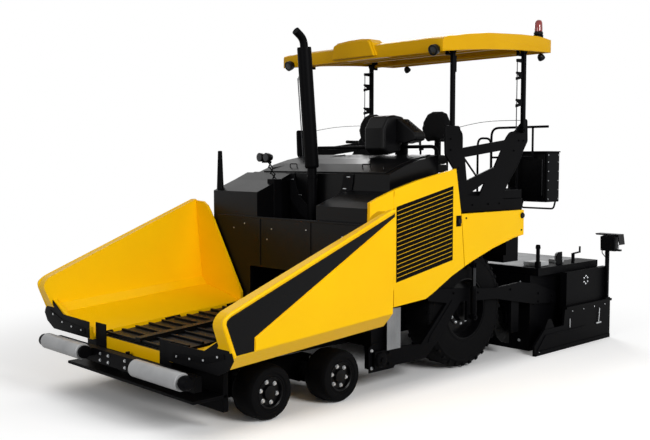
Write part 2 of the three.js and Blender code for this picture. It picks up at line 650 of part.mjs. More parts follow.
// ---------------------------------------------------------------- auger
function augerFrame() {
  const beam = box([-1150, 1150], [1500, 1600], [600, 700]);
  const centre = box([-100, 100], [AUGER.y - 90, AUGER.y + 90], [160, 650]);
  const arms = [1, -1].map((s) => box(s > 0 ? [500, 560] : [-560, -500], [FRAME.rear + GAP, 1510],
    [610, 700]));
  const hangers = [1, -1].map((s) => sidePlate([[1480, 280], [1480, 780], [1640, 780], [1640, 280]],
    s > 0 ? [1120, 1150] : [-1150, -1120]));
  const pins = [1, -1].map((s) => bar([s * 95, AUGER.y, AUGER.z], [s * 1125, AUGER.y, AUGER.z], 20));
  return join(beam, centre, arms, hangers, pins);
}
piece('auger_frame', BLACK, augerFrame());

function auger() {
  const { y, z, radius, shaft, inner, outer, pitch } = AUGER;
  const tube = turned([[23, inner], [shaft, inner], [shaft, outer], [23, outer]], y, z, 12);
  const turns = (outer - inner - 60) / pitch;
  const perTurn = 12;
  const steps = Math.round(turns * perTurn);
  const blade = 14;
  const outline = [[shaft - 6, -blade / 2], [radius, -blade / 2], [radius, blade / 2],
    [shaft - 6, blade / 2]];
  const stations = Array.from({ length: steps + 1 }, (_, i) => ({ at: i / perTurn, outline }));
  const flight = loft(stations, (r, across, turn) => {
    const angle = turn * 2 * Math.PI;
    return [inner + 30 + across + turn * pitch, y + r * Math.cos(angle), z + r * Math.sin(angle)];
  });
  return join(tube, flight);
}
bothSides('auger', STEEL, auger());

// ---------------------------------------------------------------- tow arms and lift cylinders
function towArm() {
  const outline = [
    [TOW.y - 90, 240], [TOW.y - 90, 420], [-560, 430], [-260, 400], [180, 800], [-150, 860], [-150, 985],
      [430, 940],
    [1100, 880], [1560, 900], [1900, 860], [2400, 700], [2400, 560], [1900, 600], [1100, 750], [430, 790],
      [60, 420],
    [-180, 240],
  ];
  const plate = sidePlate(outline, [TOW.inner, TOW.outer]);
  const eye = bar([TOW.inner, TOW.y, TOW.z], [TOW.outer, TOW.y, TOW.z], 90, 20);
  const hanger = sidePlate([[540, 560], [540, 830], [680, 830], [680, 560]], [TOW.inner, TOW.outer]);
  const pin = bar([TOW.inner, LIFT.y, LIFT.low], [LIFT.x + 45, LIFT.y, LIFT.low], LIFT.pin);
  return cut(join(plate, eye, hanger, pin), bar([1100, TOW.y, TOW.z], [1300, TOW.y, TOW.z], 33, 16));
}
bothSides('tow_arm', BLACK, towArm());

function liftBarrel() {
  const { x, y, low, barrel, rod, pin } = LIFT;
  const body = bar([x, y, low + 25], [x, y, low + 355], barrel, 16);
  const eye = bar([x - 30, y, low], [x + 30, y, low], 34, 16);
  const bore = join(bar([x, y, low + 60], [x, y, low + 400], rod + 3, 16),
    bar([x - 40, y, low], [x + 40, y, low], pin + 2));
  return cut(join(body, eye), bore);
}
bothSides('lift_barrel', BLACK, liftBarrel());

function liftRod() {
  const { x, y, low, high, rod, pin } = LIFT;
  const eye = cut(bar([x - 26, y, high], [x + 26, y, high], 38, 16),
    bar([x - 40, y, high], [x + 40, y, high], pin + 8));
  return join(bar([x, y, low + 275], [x, y, high - 30], rod, 16), eye);
}
bothSides('lift_rod', CHROME, liftRod());

// ---------------------------------------------------------------- screed
function screedBody() {
  const { half, front, rear, plate, top, deck } = SCREED;
  const bottomPlate = box([-half, half], [front, rear], [0, plate]);
  const lower = sidePlate([[front, 50], [front, top], [front + 120, top + 10], [rear, top + 10],
    [rear, 50]], [-half, half]);
  const walkway = box([-1250, 1250], [front + 30, 3320], [top, deck]);
  const armPads = [1, -1].map((s) => box(s > 0 ? [half - 10, TOW.inner - GAP] : [-TOW.inner + GAP,
    -half + 10],
    [1950, 2380], [580, 720]));
  // Guide blocks for the extensions' tubes.
  const blocks = [[1, 640], [-1, 780]].flatMap(([s, z]) => [350, 1080].map((x) => {
    const block = box(s > 0 ? [x - 50, x + 50] : [-x - 50, -x + 50], [rear - 10, EXTENSION.tubeY + 65],
      [z - 62, z + 62]);
    return cut(block, bar([s * x - 60, EXTENSION.tubeY, z], [s * x + 60, EXTENSION.tubeY, z],
      EXTENSION.tubeR + 4, 16));
  }));
  return join(bottomPlate, lower, walkway, armPads, blocks);
}
piece('screed_body', BLACK, screedBody());

function extension(tubeZ) {
  const { front, rear, inner, outer, top, tubeY, tubeR } = EXTENSION;
  const body = sidePlate([[front, 0], [front, top - 60], [front + 60, top], [rear - 60, top],
    [rear, top - 80], [rear, 0]],
    [inner, outer]);
  const tube = bar([-1180, tubeY, tubeZ], [outer, tubeY, tubeZ], tubeR, 16);
  const bracket = box([1262, END_PLATE.inner - GAP], [2400, 3440], [top - 80, 960]);
  return join(body, tube, bracket);
}
piece('screed_extension_left', BLACK, extension(640));
piece('screed_extension_right', BLACK, mirrored(extension(780)));

function endPlate() {
  const outline = [
    [END_PLATE.front, 0], [END_PLATE.front, 130], [1860, 300], [2300, 300], [2330, 530], [HALF_LENGTH, 530],
    [HALF_LENGTH, 0],
  ];
  const rail = box([END_PLATE.inner, END_PLATE.outer + 25], [2330, HALF_LENGTH], [500, 530]);
  return join(sidePlate(outline, [END_PLATE.inner, END_PLATE.outer]), rail);
}
bothSides('end_plate', BLACK, endPlate());

function controlStation() {
  const y = HALF_LENGTH - 97;
  const post = box([END_PLATE.inner + 5, END_PLATE.inner + 50], [y - 25, y + 25], [531, 1180]);
  const foot = box([END_PLATE.inner + 2, END_PLATE.outer + 20], [y - 60, y + 60], [531, 545]);
  const display = sidePlate([[y - 40, 1170], [y - 50, 1400], [y + 97, 1420], [y + 60, 1170]], [1220, 1580]);
  return join(post, foot, display);
}
bothSides('control_station', BLACK, controlStation());

export default paver;
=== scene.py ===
"""Wheeled asphalt paver: finishes, fine pieces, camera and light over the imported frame."""
import bpy
import math
from mathutils import Matrix, Vector


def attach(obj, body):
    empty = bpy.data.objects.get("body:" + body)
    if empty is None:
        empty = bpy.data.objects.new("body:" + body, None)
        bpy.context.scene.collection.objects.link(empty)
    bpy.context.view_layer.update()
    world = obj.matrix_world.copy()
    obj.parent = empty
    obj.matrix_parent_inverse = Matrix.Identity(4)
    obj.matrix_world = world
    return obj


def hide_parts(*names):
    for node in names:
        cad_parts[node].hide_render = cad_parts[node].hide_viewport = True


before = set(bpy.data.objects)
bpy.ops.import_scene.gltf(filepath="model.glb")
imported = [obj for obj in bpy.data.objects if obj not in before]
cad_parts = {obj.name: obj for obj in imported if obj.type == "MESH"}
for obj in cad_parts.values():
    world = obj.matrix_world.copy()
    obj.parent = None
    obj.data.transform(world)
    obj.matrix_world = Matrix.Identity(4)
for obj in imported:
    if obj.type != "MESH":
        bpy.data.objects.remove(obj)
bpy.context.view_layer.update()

X, Y, Z = Vector((1, 0, 0)), Vector((0, 1, 0)), Vector((0, 0, 1))
# Left and right, as the sign of x.
SIDES = (1, -1)
# A spun outline ends half a millimetre off its axle, so that it closes without a pinch.
CORE = 0.0005


# ---- materials
def linear(colour):
    """An sRGB hex colour as linear red, green, blue and alpha."""
    values = [int(colour[i:i + 2], 16) / 255 for i in (1, 3, 5)]
    return [v / 12.92 if v <= 0.04045 else ((v + 0.055) / 1.055) ** 2.4 for v in values] + [1.0]


def add(tree, kind, settings=None, sockets=None):
    """Adds a shader node, sets its properties, and fills or links its sockets."""
    made = tree.nodes.new("ShaderNode" + kind)
    for key, value in (settings or {}).items():
        setattr(made, key, value)
    for key, value in (sockets or {}).items():
        if isinstance(value, bpy.types.NodeSocket):
            tree.links.new(value, made.inputs[key])
        else:
            made.inputs[key].default_value = value
    return made


def sum_of(tree, operation, *values, kind="Math"):
    """What a sum over the values gives; kind VectorMath works on places."""
    return add(tree, kind, {"operation": operation}, dict(enumerate(values))).outputs[0]


def surface(name, colour, aged, roughness, grain_mm, cloud_mm=500, spread=0.06, bump=0.05, depth_mm=0.2,
            pattern=None, **shader):
    """A finish with cloudy ageing, a fine grain in its gloss and relief, and an optional relief pattern."""
    material = bpy.data.materials.new(name)
    material.use_nodes = True
    tree = material.node_tree
    tree.nodes.clear()
    place = add(tree, "TexCoord").outputs["Object"]
    clouds = add(tree, "TexNoise", None, {"Vector": place, "Scale": 1000 / cloud_mm, "Detail": 5.0})
    grain = add(tree, "TexNoise", None, {"Vector": place, "Scale": 1000 / grain_mm, "Detail": 3.0})
    share = add(tree, "MapRange", None, {"Value": clouds.outputs[0], "From Min": 0.35, "From Max": 0.75})
    tint = add(tree, "Mix", {"data_type": "RGBA"},
               {0: share.outputs[0], 6: linear(colour), 7: linear(aged)})
    both = sum_of(tree, "ADD", clouds.outputs[0], grain.outputs[0])
    gloss = add(tree, "MapRange", None, {
        "Value": both, "From Min": 0.6, "From Max": 1.4,
        "To Min": roughness - spread, "To Max": roughness + spread})
    relief = pattern(tree, place) if pattern else grain.outputs[0]
    raised = add(tree, "Bump", None, {"Strength": bump, "Distance": depth_mm / 1000, "Height": relief})
    sockets = {"Base Color": tint.outputs[2], "Roughness": gloss.outputs[0], "Normal": raised.outputs[0]}
    sockets.update({key.replace("_", " "): value for key, value in shader.items()})
    shade = add(tree, "BsdfPrincipled", None, sockets)
    add(tree, "OutputMaterial", None, {"Surface": shade.outputs[0]})
    return material


def checker_plate(tree, place):
    """Raised bars 30 mm apart, turned this way and that, as rolled tread plate has."""
    turned = add(tree, "Mapping", None, {"Vector": place, "Rotation": (0, 0, math.radians(45))})
    cells = add(tree, "TexChecker", None, {"Vector": turned.outputs[0], "Scale": 33.0})
    bars = add(tree, "TexWave", {"bands_direction": "X"}, {"Vector": turned.outputs[0], "Scale": 10.0})
    cross = add(tree, "TexWave", {"bands_direction": "Y"}, {"Vector": turned.outputs[0], "Scale": 10.0})
    mixed = add(tree, "Mix", {"data_type": "FLOAT"},
                {0: cells.outputs["Fac"], 2: bars.outputs["Fac"], 3: cross.outputs["Fac"]})
    return mixed.outputs[0]


def woven(tree, place):
    """A basket weave of 4 mm threads, drawn coarse enough to show."""
    warp = add(tree, "TexWave", {"bands_direction": "X"}, {"Vector": place, "Scale": 40.0})
    weft = add(tree, "TexWave", {"bands_direction": "Z"}, {"Vector": place, "Scale": 40.0})
    return sum_of(tree, "MAXIMUM", warp.outputs["Fac"], weft.outputs["Fac"])


# Baked road-machine yellow: a hard gloss with a faint orange peel of a few millimetres.
YELLOW = surface("yellow_enamel", "#FDC703", "#F8BD02", 0.3, 6, 900, 0.05, 0.04, Specular_IOR_Level=0.12)
# The roof is a glass-fibre moulding in the same yellow. Its colour is set deeper and softer than the enamel as
# painted shade, because the roof is lit less than the side panels.
GEL_COAT_PAINTED_SHADE = surface("yellow_gel_coat_painted_shade", "#D8A402", "#D09B02", 0.38, 8, 700, 0.05, 0.05, Specular_IOR_Level=0.1)
# The same enamel in black, on the walls over the hopper and on the hood: deep, with clear reflections.
GLOSS_BLACK = surface("black_enamel", "#040405", "#060607", 0.3, 6, 700, 0.05, 0.04, Specular_IOR_Level=0.11)
# Powder coat on frames and guards: even black, a fine grain takes the edge off its shine.
BLACK = surface("black_powder_coat", "#040405", "#070709", 0.46, 2.5, 350, 0.07, 0.12, Specular_IOR_Level=0.03)
# Light grey paint on plates meant to be seen or stood on.
GREY = surface("grey_paint", "#B9BBBC", "#A8AAAB", 0.45, 4, 300, 0.06, 0.06)
# Rolled tread plate, painted grey and dulled by boots.
TREAD_PLATE = surface("tread_plate", "#7C7E80", "#66686A", 0.5, 5, 250, 0.08, 0.6, 1.5, checker_plate)
# The platform's floor is the same plate in black.
DARK_PLATE = surface("dark_tread_plate", "#0B0B0D", "#121214", 0.5, 5, 250, 0.08, 0.6, 1.5, checker_plate,
                     Specular_IOR_Level=0.05)
# Natural rubber of the tyres: dull, with a bloom that lightens it in patches.
TYRE = surface("tyre_rubber", "#050506", "#0A0A0B", 0.72, 3, 180, 0.08, 0.2, 0.5, Specular_IOR_Level=0.05)
# Reinforced rubber sheet of the flaps and leads: smoother than a tyre, with a soft sheen along its folds.
FLAP = surface("sheet_rubber", "#060607", "#0B0B0D", 0.55, 8, 260, 0.08, 0.15, 0.6, Specular_IOR_Level=0.05)
# Aluminium-coloured roller tubes, matt and slightly marked by truck tyres.
ROLLER = surface("silver_roller_paint", "#A6A7A8", "#959698", 0.35, 3, 200, 0.07, 0.08)
# Zinc-plated bolt heads, bright enough to catch the light.
ZINC = surface("zinc_plate", "#C9CBCD", "#B4B6B8", 0.3, 2, 60, 0.06, 0.05, Metallic=1.0)
# Dark steel with an oily polish, on thin lines and springs. On the cylinder rods it is painted shade: their bright
# chrome is drawn dark, as it looks in the shade under the machine.
DARK_STEEL = surface("dark_steel", "#3A3B3D", "#2E2F31", 0.18, 1, 200, 0.03, 0.02, Metallic=1.0)
# Steel that carries the mix: blackened by bitumen and rubbed, so that only its edges shine.
WORN_STEEL = surface("worn_steel", "#080808", "#040404", 0.45, 5, 120, 0.1, 0.2, 0.5, Specular_IOR_Level=0.1)
# Cast iron of the engine and drives under a dull dark paint.
CASTING = surface("painted_casting", "#08090A", "#0D0E10", 0.6, 3, 150, 0.08, 0.4, 0.6, Specular_IOR_Level=0.05)
# Vinyl-backed cloth of the seats: a coarse weave with a little fuzz that takes the light at its edges.
SEAT = surface("seat_cloth", "#0A0A0B", "#111113", 0.8, 3, 120, 0.05, 0.5, 0.6, woven, Sheen_Weight=0.06,
               Specular_IOR_Level=0.05)
# Moulded ABS of consoles and lamp housings: low sheen with a fine leather grain.
PLASTIC = surface("moulded_abs", "#060607", "#0A0A0C", 0.38, 2, 400, 0.05, 0.3, 0.3, Specular_IOR_Level=0.12)
# Glass over the switched-off displays: dark and smooth, with a sharp reflection.
SCREEN = surface("display_glass", "#0A0D10", "#0D1114", 0.08, 4, 300, 0.02, 0.0, Coat_Weight=0.5)
# Polycarbonate lamp lenses: ribbed and clear over a dark, unlit reflector.
LENS = surface("lamp_lens", "#1C1F24", "#14171B", 0.15, 8, 60, 0.05, 0.3, 1.0, Specular_IOR_Level=0.3)
# The beacon's dome: deep red, moulded plastic with a wet shine.
BEACON_LENS = surface("beacon_lens", "#6E0E08", "#8C170D", 0.12, 6, 80, 0.04, 0.2, 0.6, Coat_Weight=0.6)


# ---- modelling
def only(piece):
    """Selects a piece and nothing else."""
    bpy.ops.object.select_all(action="DESELECT")
    piece.select_set(True)
    bpy.context.view_layer.objects.active = piece


def edited(piece, *steps):
    """Runs each step, an operator with its settings, on all of a piece's mesh."""
    only(piece)
    bpy.ops.object.mode_set(mode="EDIT")
    bpy.ops.mesh.select_all(action="SELECT")
    for step, settings in steps:
        step(**settings)
    bpy.ops.object.mode_set(mode="OBJECT")


def settled(piece, material):
    """Puts a new shape's place into its mesh and gives it its finish."""
    only(piece)
    bpy.ops.object.transform_apply(location=True, rotation=True, scale=True)
    piece.data.materials.clear()
    piece.data.materials.append(material)
    return piece


def tidy_normals(piece, merge=1e-5):
    """Joins points that meet and turns every face outwards."""
    mesh = bpy.ops.mesh
    edited(piece, (mesh.remove_doubles, {"threshold": merge}), (mesh.delete_loose, {}),
           (mesh.select_all, {"action": "SELECT"}), (mesh.normals_make_consistent, {"inside": False}))


def apply_modifier(piece, kind, **settings):
    """Adds a modifier and makes its result the mesh."""
    only(piece)
    modifier = piece.modifiers.new(kind.title(), kind)
    for key, value in settings.items():
        setattr(modifier, key, value)
    bpy.ops.object.modifier_apply(modifier=modifier.name)


def round_edges(piece, width, segments=2):
    """Rounds the sharp edges, as a break or a fold leaves them."""
    apply_modifier(piece, "BEVEL", width=width, segments=segments, limit_method="ANGLE",
                   angle_limit=math.radians(35))


def block(low, high, material, edge=0.004, segments=2):
    """A box from its low corner to its high one."""
    low, high = Vector(low), Vector(high)
    bpy.ops.mesh.primitive_cube_add(size=1, location=(low + high) / 2, scale=high - low)
    piece = settled(bpy.context.object, material)
    if edge:
        round_edges(piece, edge, segments)
    return piece


def outline(points, material, fill="NGON"):
    """A flat outline: a ring of points moved to their places."""
    bpy.ops.mesh.primitive_circle_add(vertices=len(points), radius=1, fill_type=fill)
    piece = settled(bpy.context.object, material)
    for vertex, point in zip(piece.data.vertices, points):
        vertex.co = point
    return piece


def prism(points, push, material, edge=0.003, segments=2):
    """An outline of 3-D points, extruded by push."""
    piece = outline(points, material)
    edited(piece, (bpy.ops.mesh.extrude_region_move, {"TRANSFORM_OT_translate": {"value": push}}))
    tidy_normals(piece)
    if edge:
        round_edges(piece, edge, segments)
    return piece


def side_prism(points, x, thick, material, edge=0.003, segments=2):
    """A plate seen from the side: (y, z) points at x, or at the place x(y, z) gives."""
    place = x if callable(x) else lambda y, z: x
    return prism([(place(y, z), y, z) for y, z in points], (thick, 0, 0), material, edge, segments)


def front_prism(points, y, thick, material, edge=0.003, segments=2):
    """A plate seen from the front: (x, z) points at y."""
    return prism([(x, y, z) for x, z in points], (0, thick, 0), material, edge, segments)


def turned(profile, centre, material, axis=X, steps=48, smooth=35):
    """A closed outline of (radius, along) points spun about an axle."""
    centre = Vector(centre)
    out = Z if axis != Z else X
    piece = outline([centre + axis * along + out * radius for radius, along in profile], material, "NOTHING")
    edited(piece, (bpy.ops.mesh.spin, {"steps": steps, "angle": 2 * math.pi, "center": centre, "axis": axis}))
    tidy_normals(piece, 2e-5)
    bpy.ops.object.shade_smooth_by_angle(angle=math.radians(smooth))
    return piece


def rod(start, end, radius, material, edge=0.002, sides=24):
    """A straight round bar."""
    start, end = Vector(start), Vector(end)
    way = end - start
    bpy.ops.mesh.primitive_cylinder_add(vertices=sides, radius=radius, depth=way.length,
                                        location=(start + end) / 2, rotation=Z.rotation_difference(way).to_euler())
    piece = settled(bpy.context.object, material)
    if edge:
        round_edges(piece, edge, 1)
    bpy.ops.object.shade_smooth_by_angle(angle=math.radians(40))
    return piece


def rounded_path(points, corner, steps=5):
    """The points of a bent run, with each corner turned into a short arc."""
    points = [Vector(p) for p in points]
    path = [points[0]]
    for before, at, after in zip(points, points[1:], points[2:]):
        reach = min(corner, (before - at).length / 2, (after - at).length / 2)
        start, end = at + (before - at).normalized() * reach, at + (after - at).normalized() * reach
        for i in range(steps + 1):
            t = i / steps
            path.append(start * (1 - t) ** 2 + at * 2 * t * (1 - t) + end * t ** 2)
    return path + [points[-1]]


def tube(points, radius, material, corner=0.06, resolution=4):
    """A bent tube, drawn as a curve with a round bevel and then made a mesh."""
    path = rounded_path(points, corner) if corner else [Vector(p) for p in points]
    bpy.ops.curve.primitive_nurbs_path_add()
    piece = bpy.context.object
    piece.data.splines.clear()
    spline = piece.data.splines.new("POLY")
    spline.points.add(len(path) - 1)
    for point, place in zip(spline.points, path):
        point.co = (*place, 1)
    piece.data.bevel_depth = radius
    piece.data.bevel_resolution = resolution
    piece.data.use_fill_caps = True
    bpy.ops.object.convert(target="MESH")
    piece = settled(bpy.context.object, material)
    bpy.ops.object.shade_smooth_by_angle(angle=math.radians(50))
    return piece


def copy_of(piece, matrix=Matrix()):
    """A copy with its own mesh, moved by matrix."""
    twin = piece.copy()
    twin.data = piece.data.copy()
    bpy.context.collection.objects.link(twin)
    twin.data.transform(matrix)
    return twin


def mirrored(piece):
    """A copy of a left piece for the right side, with its faces still turned outwards."""
    twin = copy_of(piece, Matrix.Scale(-1, 4, X))
    edited(twin, (bpy.ops.mesh.flip_normals, {}))
    return twin


def joined(pieces):
    """Makes one mesh of several."""
    bpy.ops.object.select_all(action="DESELECT")
    for piece in pieces:
        piece.select_set(True)
    bpy.context.view_layer.objects.active = pieces[0]
    bpy.ops.object.join()
    return bpy.context.object


def bolts(places, way, size=0.012, material=ZINC):
    """Hexagon heads on washers: one is modelled and the others are copies of it."""
    bpy.ops.mesh.primitive_cylinder_add(vertices=6, radius=size, depth=size * 0.8, location=(0, 0, size * 0.6))
    head = settled(bpy.context.object, material)
    round_edges(head, size * 0.12, 1)
    bpy.ops.mesh.primitive_cylinder_add(vertices=14, radius=size * 1.3, depth=size * 0.4, location=(0, 0, 0))
    bolt = joined([head, settled(bpy.context.object, material)])
    turn = Z.rotation_difference(Vector(way)).to_matrix().to_4x4()
    made = [copy_of(bolt, Matrix.Translation(Vector(place)) @ turn) for place in places]
    bpy.data.objects.remove(bolt)
    return joined(made)


def ring_places(centre, radius, count, axis=X, phase=0.0):
    """Places spaced evenly round an axle."""
    centre = Vector(centre)
    first = (Z if axis != Z else X) * radius
    return [centre + Matrix.Rotation(phase + i * 2 * math.pi / count, 3, axis) @ first for i in range(count)]


def done(piece, name, body, replaces=None):
    """Names a finished piece, lets it ride on its body and hides the CAD node it replaces."""
    piece.name = name
    piece.data.name = name
    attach(piece, body)
    if replaces:
        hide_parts(replaces)
    return piece


def both_sides(piece, name, body, replaces=None):
    """Finishes a left piece and its mirror image on the right. {side} in body or node becomes the side."""
    return [done(p, f"{name}_{side}", body.format(side=side), replaces and replaces.format(side=side))
            for p, side in ((piece, "left"), (mirrored(piece), "right"))]


# ---- finishes of the CAD nodes
# Nodes by name, or by the start of it; all the others wear the black powder coat.
CAD_FINISH = {
    "engine": CASTING, "conveyors": WORN_STEEL, "hopper_back_wall": GLOSS_BLACK, "front_apron": FLAP,
    "hood": GLOSS_BLACK, "roof": GEL_COAT_PAINTED_SHADE, "beacon": BEACON_LENS, "platform": DARK_PLATE, "console": PLASTIC,
    "auger_frame": BLACK, "auger_": WORN_STEEL, "knuckle_": CASTING, "final_drive_": CASTING,
    "hopper_wing_": YELLOW, "side_panel_": YELLOW, "side_door_": YELLOW, "lift_": DARK_STEEL, "wheel_": TYRE,
    "push_roller_": ROLLER, "seat_": SEAT}
for name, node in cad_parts.items():
    start = next((k for k in CAD_FINISH if k.endswith("_") and name.startswith(k)), None)
    finish = CAD_FINISH.get(name, CAD_FINISH.get(start, BLACK))
    for slot in node.material_slots:
        slot.material = finish


# ---- wheels
def front_wheel(centre_y):
    """A solid rubber tyre on a black hub with six bright bolts."""
    radius, inner, outer = 0.26, 0.93, 1.23
    centre = (0, centre_y, radius)
    tyre = turned([(0.152, inner + 0.012), (0.21, inner), (0.235, inner + 0.006), (0.252, inner + 0.03),
                   (0.26, inner + 0.065), (0.26, outer - 0.065), (0.252, outer - 0.03), (0.235, outer - 0.006),
                   (0.21, outer), (0.182, outer - 0.004), (0.176, outer - 0.012), (0.152, outer - 0.012)],
                  centre, TYRE, steps=64)
    hub = turned([(0.152, inner + 0.02), (0.152, outer - 0.02), (0.146, outer - 0.012), (0.135, outer - 0.02),
                  (0.125, outer - 0.05), (0.072, outer - 0.05), (0.064, outer - 0.022), (0.03, outer - 0.016),
                  (CORE, outer - 0.016), (CORE, outer - 0.062), (0.044, outer - 0.075), (0.044, outer - 0.145),
                  (0.14, outer - 0.145), (0.14, inner + 0.02)], centre, GLOSS_BLACK)
    heads = bolts(ring_places((outer - 0.05, centre_y, radius), 0.1, 6, phase=math.radians(15)), X, 0.016)
    return joined([tyre, hub, heads])


def rear_wheel():
    """A wide radial tyre with shoulder lugs on a dished rim."""
    axle_y, radius, inner, outer = 0.608, 0.683, 0.76, 1.145
    middle = (inner + outer) / 2
    centre = (0, axle_y, radius)
    wall = [(0.345, 0.172), (0.352, 0.184), (0.372, 0.188), (0.38, 0.183), (0.46, 0.192), (0.54, 0.19),
            (0.58, 0.187), (0.586, 0.192), (0.606, 0.191), (0.612, 0.183), (0.648, 0.168), (0.664, 0.13),
            (0.668, 0.07), (0.67, 0.0)]
    half = [(r, middle + x) for r, x in wall]
    other = [(r, middle - x) for r, x in reversed(wall[:-1])]
    tyre = turned(half + other + [(0.33, middle - 0.15), (0.33, middle + 0.15)], centre, TYRE, steps=96)
    lug = prism([(middle + x, axle_y + y, z) for x, y, z in ((0.012, -0.02, 1.343), (0.165, 0.015, 1.343),
        (0.178, 0.06, 1.325), (0.012, 0.03, 1.343))], (0, 0, 0.01), TYRE, 0.003, 1)
    low = prism([(middle + x, axle_y + y, z) for x, y, z in ((0.16, 0.015, 1.318), (0.189, 0.02, 1.30),
        (0.189, 0.06, 1.30), (0.16, 0.06, 1.318))], (0, 0, 0.034), TYRE, 0.004, 1)
    pair = joined([lug, low])
    twin = copy_of(pair, Matrix.Translation((2 * middle, 2 * axle_y, 0)) @ Matrix.Rotation(math.pi, 4, "Z"))
    count = 32
    spin = [Matrix.Translation(centre) @ Matrix.Rotation(i * 2 * math.pi / count, 4, "X")
            @ Matrix.Translation(-Vector(centre)) for i in range(count)]
    lugs = [copy_of(p, m) for m in spin for p in (pair, twin)]
    for piece in (pair, twin):
        bpy.data.objects.remove(piece)
    rim = turned([(r, middle + x) for r, x in ((0.345, -0.16), (0.352, -0.178), (0.338, -0.18), (0.318, -0.15),
        (0.318, 0.02), (0.3, 0.05), (0.2, 0.07), (0.2, 0.085), (0.305, 0.066), (0.322, 0.09), (0.326, 0.15),
        (0.338, 0.18), (0.352, 0.178), (0.345, 0.16), (0.336, 0))], centre, GLOSS_BLACK, steps=72)
    hub = turned([(r, middle + x) for r, x in ((0.205, 0.062), (0.205, 0.1), (0.155, 0.104), (0.135, 0.15),
        (0.06, 0.16), (CORE, 0.16), (CORE, 0.105), (0.064, 0.1), (0.064, 0.062))], centre, GLOSS_BLACK)
    heads = bolts(ring_places((middle + 0.1, axle_y, radius), 0.178, 12), X, 0.014)
    return joined([tyre, rim, hub, heads] + lugs)


for place, wheel_y in (("front", -2.4), ("middle", -1.493)):
    both_sides(front_wheel(wheel_y), f"tyre_and_hub_{place}", f"wheel_{place}_{{side}}",
               f"wheel_{place}_{{side}}")
    joint = bolts(ring_places((0.8, wheel_y, 0.387), 0.042, 4, Z), Z, 0.008)
    both_sides(joint, f"kingpin_bolts_{place}", "chassis")
both_sides(rear_wheel(), "drive_tyre_and_rim", "wheel_rear_{side}", "wheel_rear_{side}")


# ---- push rollers and apron
ROLLER_AXLE = (0, -3.372, 0.525)
roller_shape = turned([(0.03, 0.474), (0.074, 0.474), (0.08, 0.482), (0.08, 1.205), (0.074, 1.213), (0.03, 1.213)],
                      ROLLER_AXLE, ROLLER, steps=56)
both_sides(roller_shape, "roller_tube", "push_roller_{side}", "push_roller_{side}")
cap = turned([(CORE, 1.238), (0.062, 1.238), (0.068, 1.25), (0.062, 1.285), (0.045, 1.304), (CORE, 1.306)],
             ROLLER_AXLE, BLACK)
inner_cap = turned([(CORE, 0.43), (0.06, 0.43), (0.066, 0.44), (0.062, 0.466), (CORE, 0.468)],
                   ROLLER_AXLE, BLACK)
beam_bolts = bolts([(x, -3.282, z) for x in (0.15, 0.3, 1.0, 1.15) for z in (0.455, 0.52)], -Y, 0.012)
both_sides(joined([cap, inner_cap, beam_bolts]), "roller_bearings", "push_beam")
apron_face = block((-0.62, -3.106, 0.52), (0.62, -3.101, 0.638), YELLOW, 0.002, 1)
strip_bolts = bolts([(x, -3.108, 0.49) for x in (-0.55, -0.33, -0.11, 0.11, 0.33, 0.55)], -Y, 0.011)
strip = block((-0.62, -3.112, 0.465), (0.62, -3.105, 0.515), BLACK, 0.002, 1)
done(joined([strip, strip_bolts, apron_face]), "apron_clamp_strip", "chassis")
skirt = joined([block((s * 0.905 - 0.285, -2.93, 0.17), (s * 0.905 + 0.285, -2.87, 0.56), BLACK, 0.01)
                for s in SIDES] + [block((-1.02, -3.25, 0.3), (1.19, -2.88, 0.33), BLACK, 0.006)])
done(skirt, "front_skirt", "chassis")


# ---- hopper wings
# The hopper's floor and its hinges climb towards the rear by this much a metre.
CLIMB = 0.0666
# The front edge of the wings, where the climb starts.
WING_FRONT = -3.15


def wing_wall(y, z):
    """Where a wing's outer wall stands at a height and a place along it."""
    rise = (y - WING_FRONT) * CLIMB
    return 1.62 + 0.04 * (z - 0.767 - rise) / (1.433 - rise)


recess = side_prism([(-3.115, 0.775), (-3.222, 1.05), (-3.215, 1.085), (-3.17, 1.113), (-1.2, 1.878),
                     (-1.2, 1.845), (-2.925, 0.905), (-2.925, 0.787)], wing_wall, 0.003, GLOSS_BLACK, 0.001, 1)
plate = side_prism([(-2.917, 0.792), (-2.917, 0.897), (-1.2, 1.83), (-1.2, 0.9)],
                   wing_wall, 0.008, YELLOW, 0.003)
rim_points = [(-3.14, 0.762), (-3.247, 1.035), (-3.25, 1.08), (-3.19, 1.128), (-1.24, 1.895), (-1.197, 1.895)]
rim = tube([(wing_wall(y, z) - 0.004, y, z) for y, z in rim_points], 0.019, YELLOW, 0.05)
both_sides(joined([plate, rim]), "wing_rim_and_plate", "wing_{side}")
both_sides(recess, "wing_stripe", "wing_{side}")
flap_sheet = front_prism([(0.7, 0.592), (0.7, 0.76), (0.8, 0.765), (1.25, 0.77),
                    (1.49, 0.905), (1.6, 0.955), (1.625, 0.82), (1.66, 0.745),
                    (1.6, 0.66), (1.455, 0.592)], -3.168, -0.008, FLAP, 0.002, 1)
flap_bolts = bolts([(x, -3.178, z) for x, z in ((0.85, 0.66), (1.05, 0.67), (1.25, 0.69), (1.45, 0.75))], -Y, 0.011)
clamp = front_prism([(0.78, 0.635), (0.78, 0.685), (1.26, 0.715), (1.53, 0.79),
               (1.55, 0.745), (1.28, 0.665)], -3.176, -0.005, BLACK, 0.001, 1)
both_sides(joined([flap_sheet, clamp, flap_bolts]), "wing_flap", "wing_{side}")
flap_end = block((0.48, -3.118, 0.5), (0.675, -3.106, 0.757), FLAP, 0.002, 1)
both_sides(flap_end, "apron_flap_end", "chassis")
lining = tube([(1.625, -3.15, 1.09), (1.472, -3.125, 0.862), (1.378, -3.12, 0.782), (0.74, -3.12, 0.652)],
              0.008, YELLOW, 0.03)
seams = [tube([(x + 0.002, -3.1, z), (x + 0.002, -1.24, z + 1.86 * CLIMB)], 0.005, YELLOW, 0)
         for x, z in ((1.472, 0.853), (1.381, 0.774))]
both_sides(joined([lining] + seams), "wing_weld_beads", "wing_{side}")
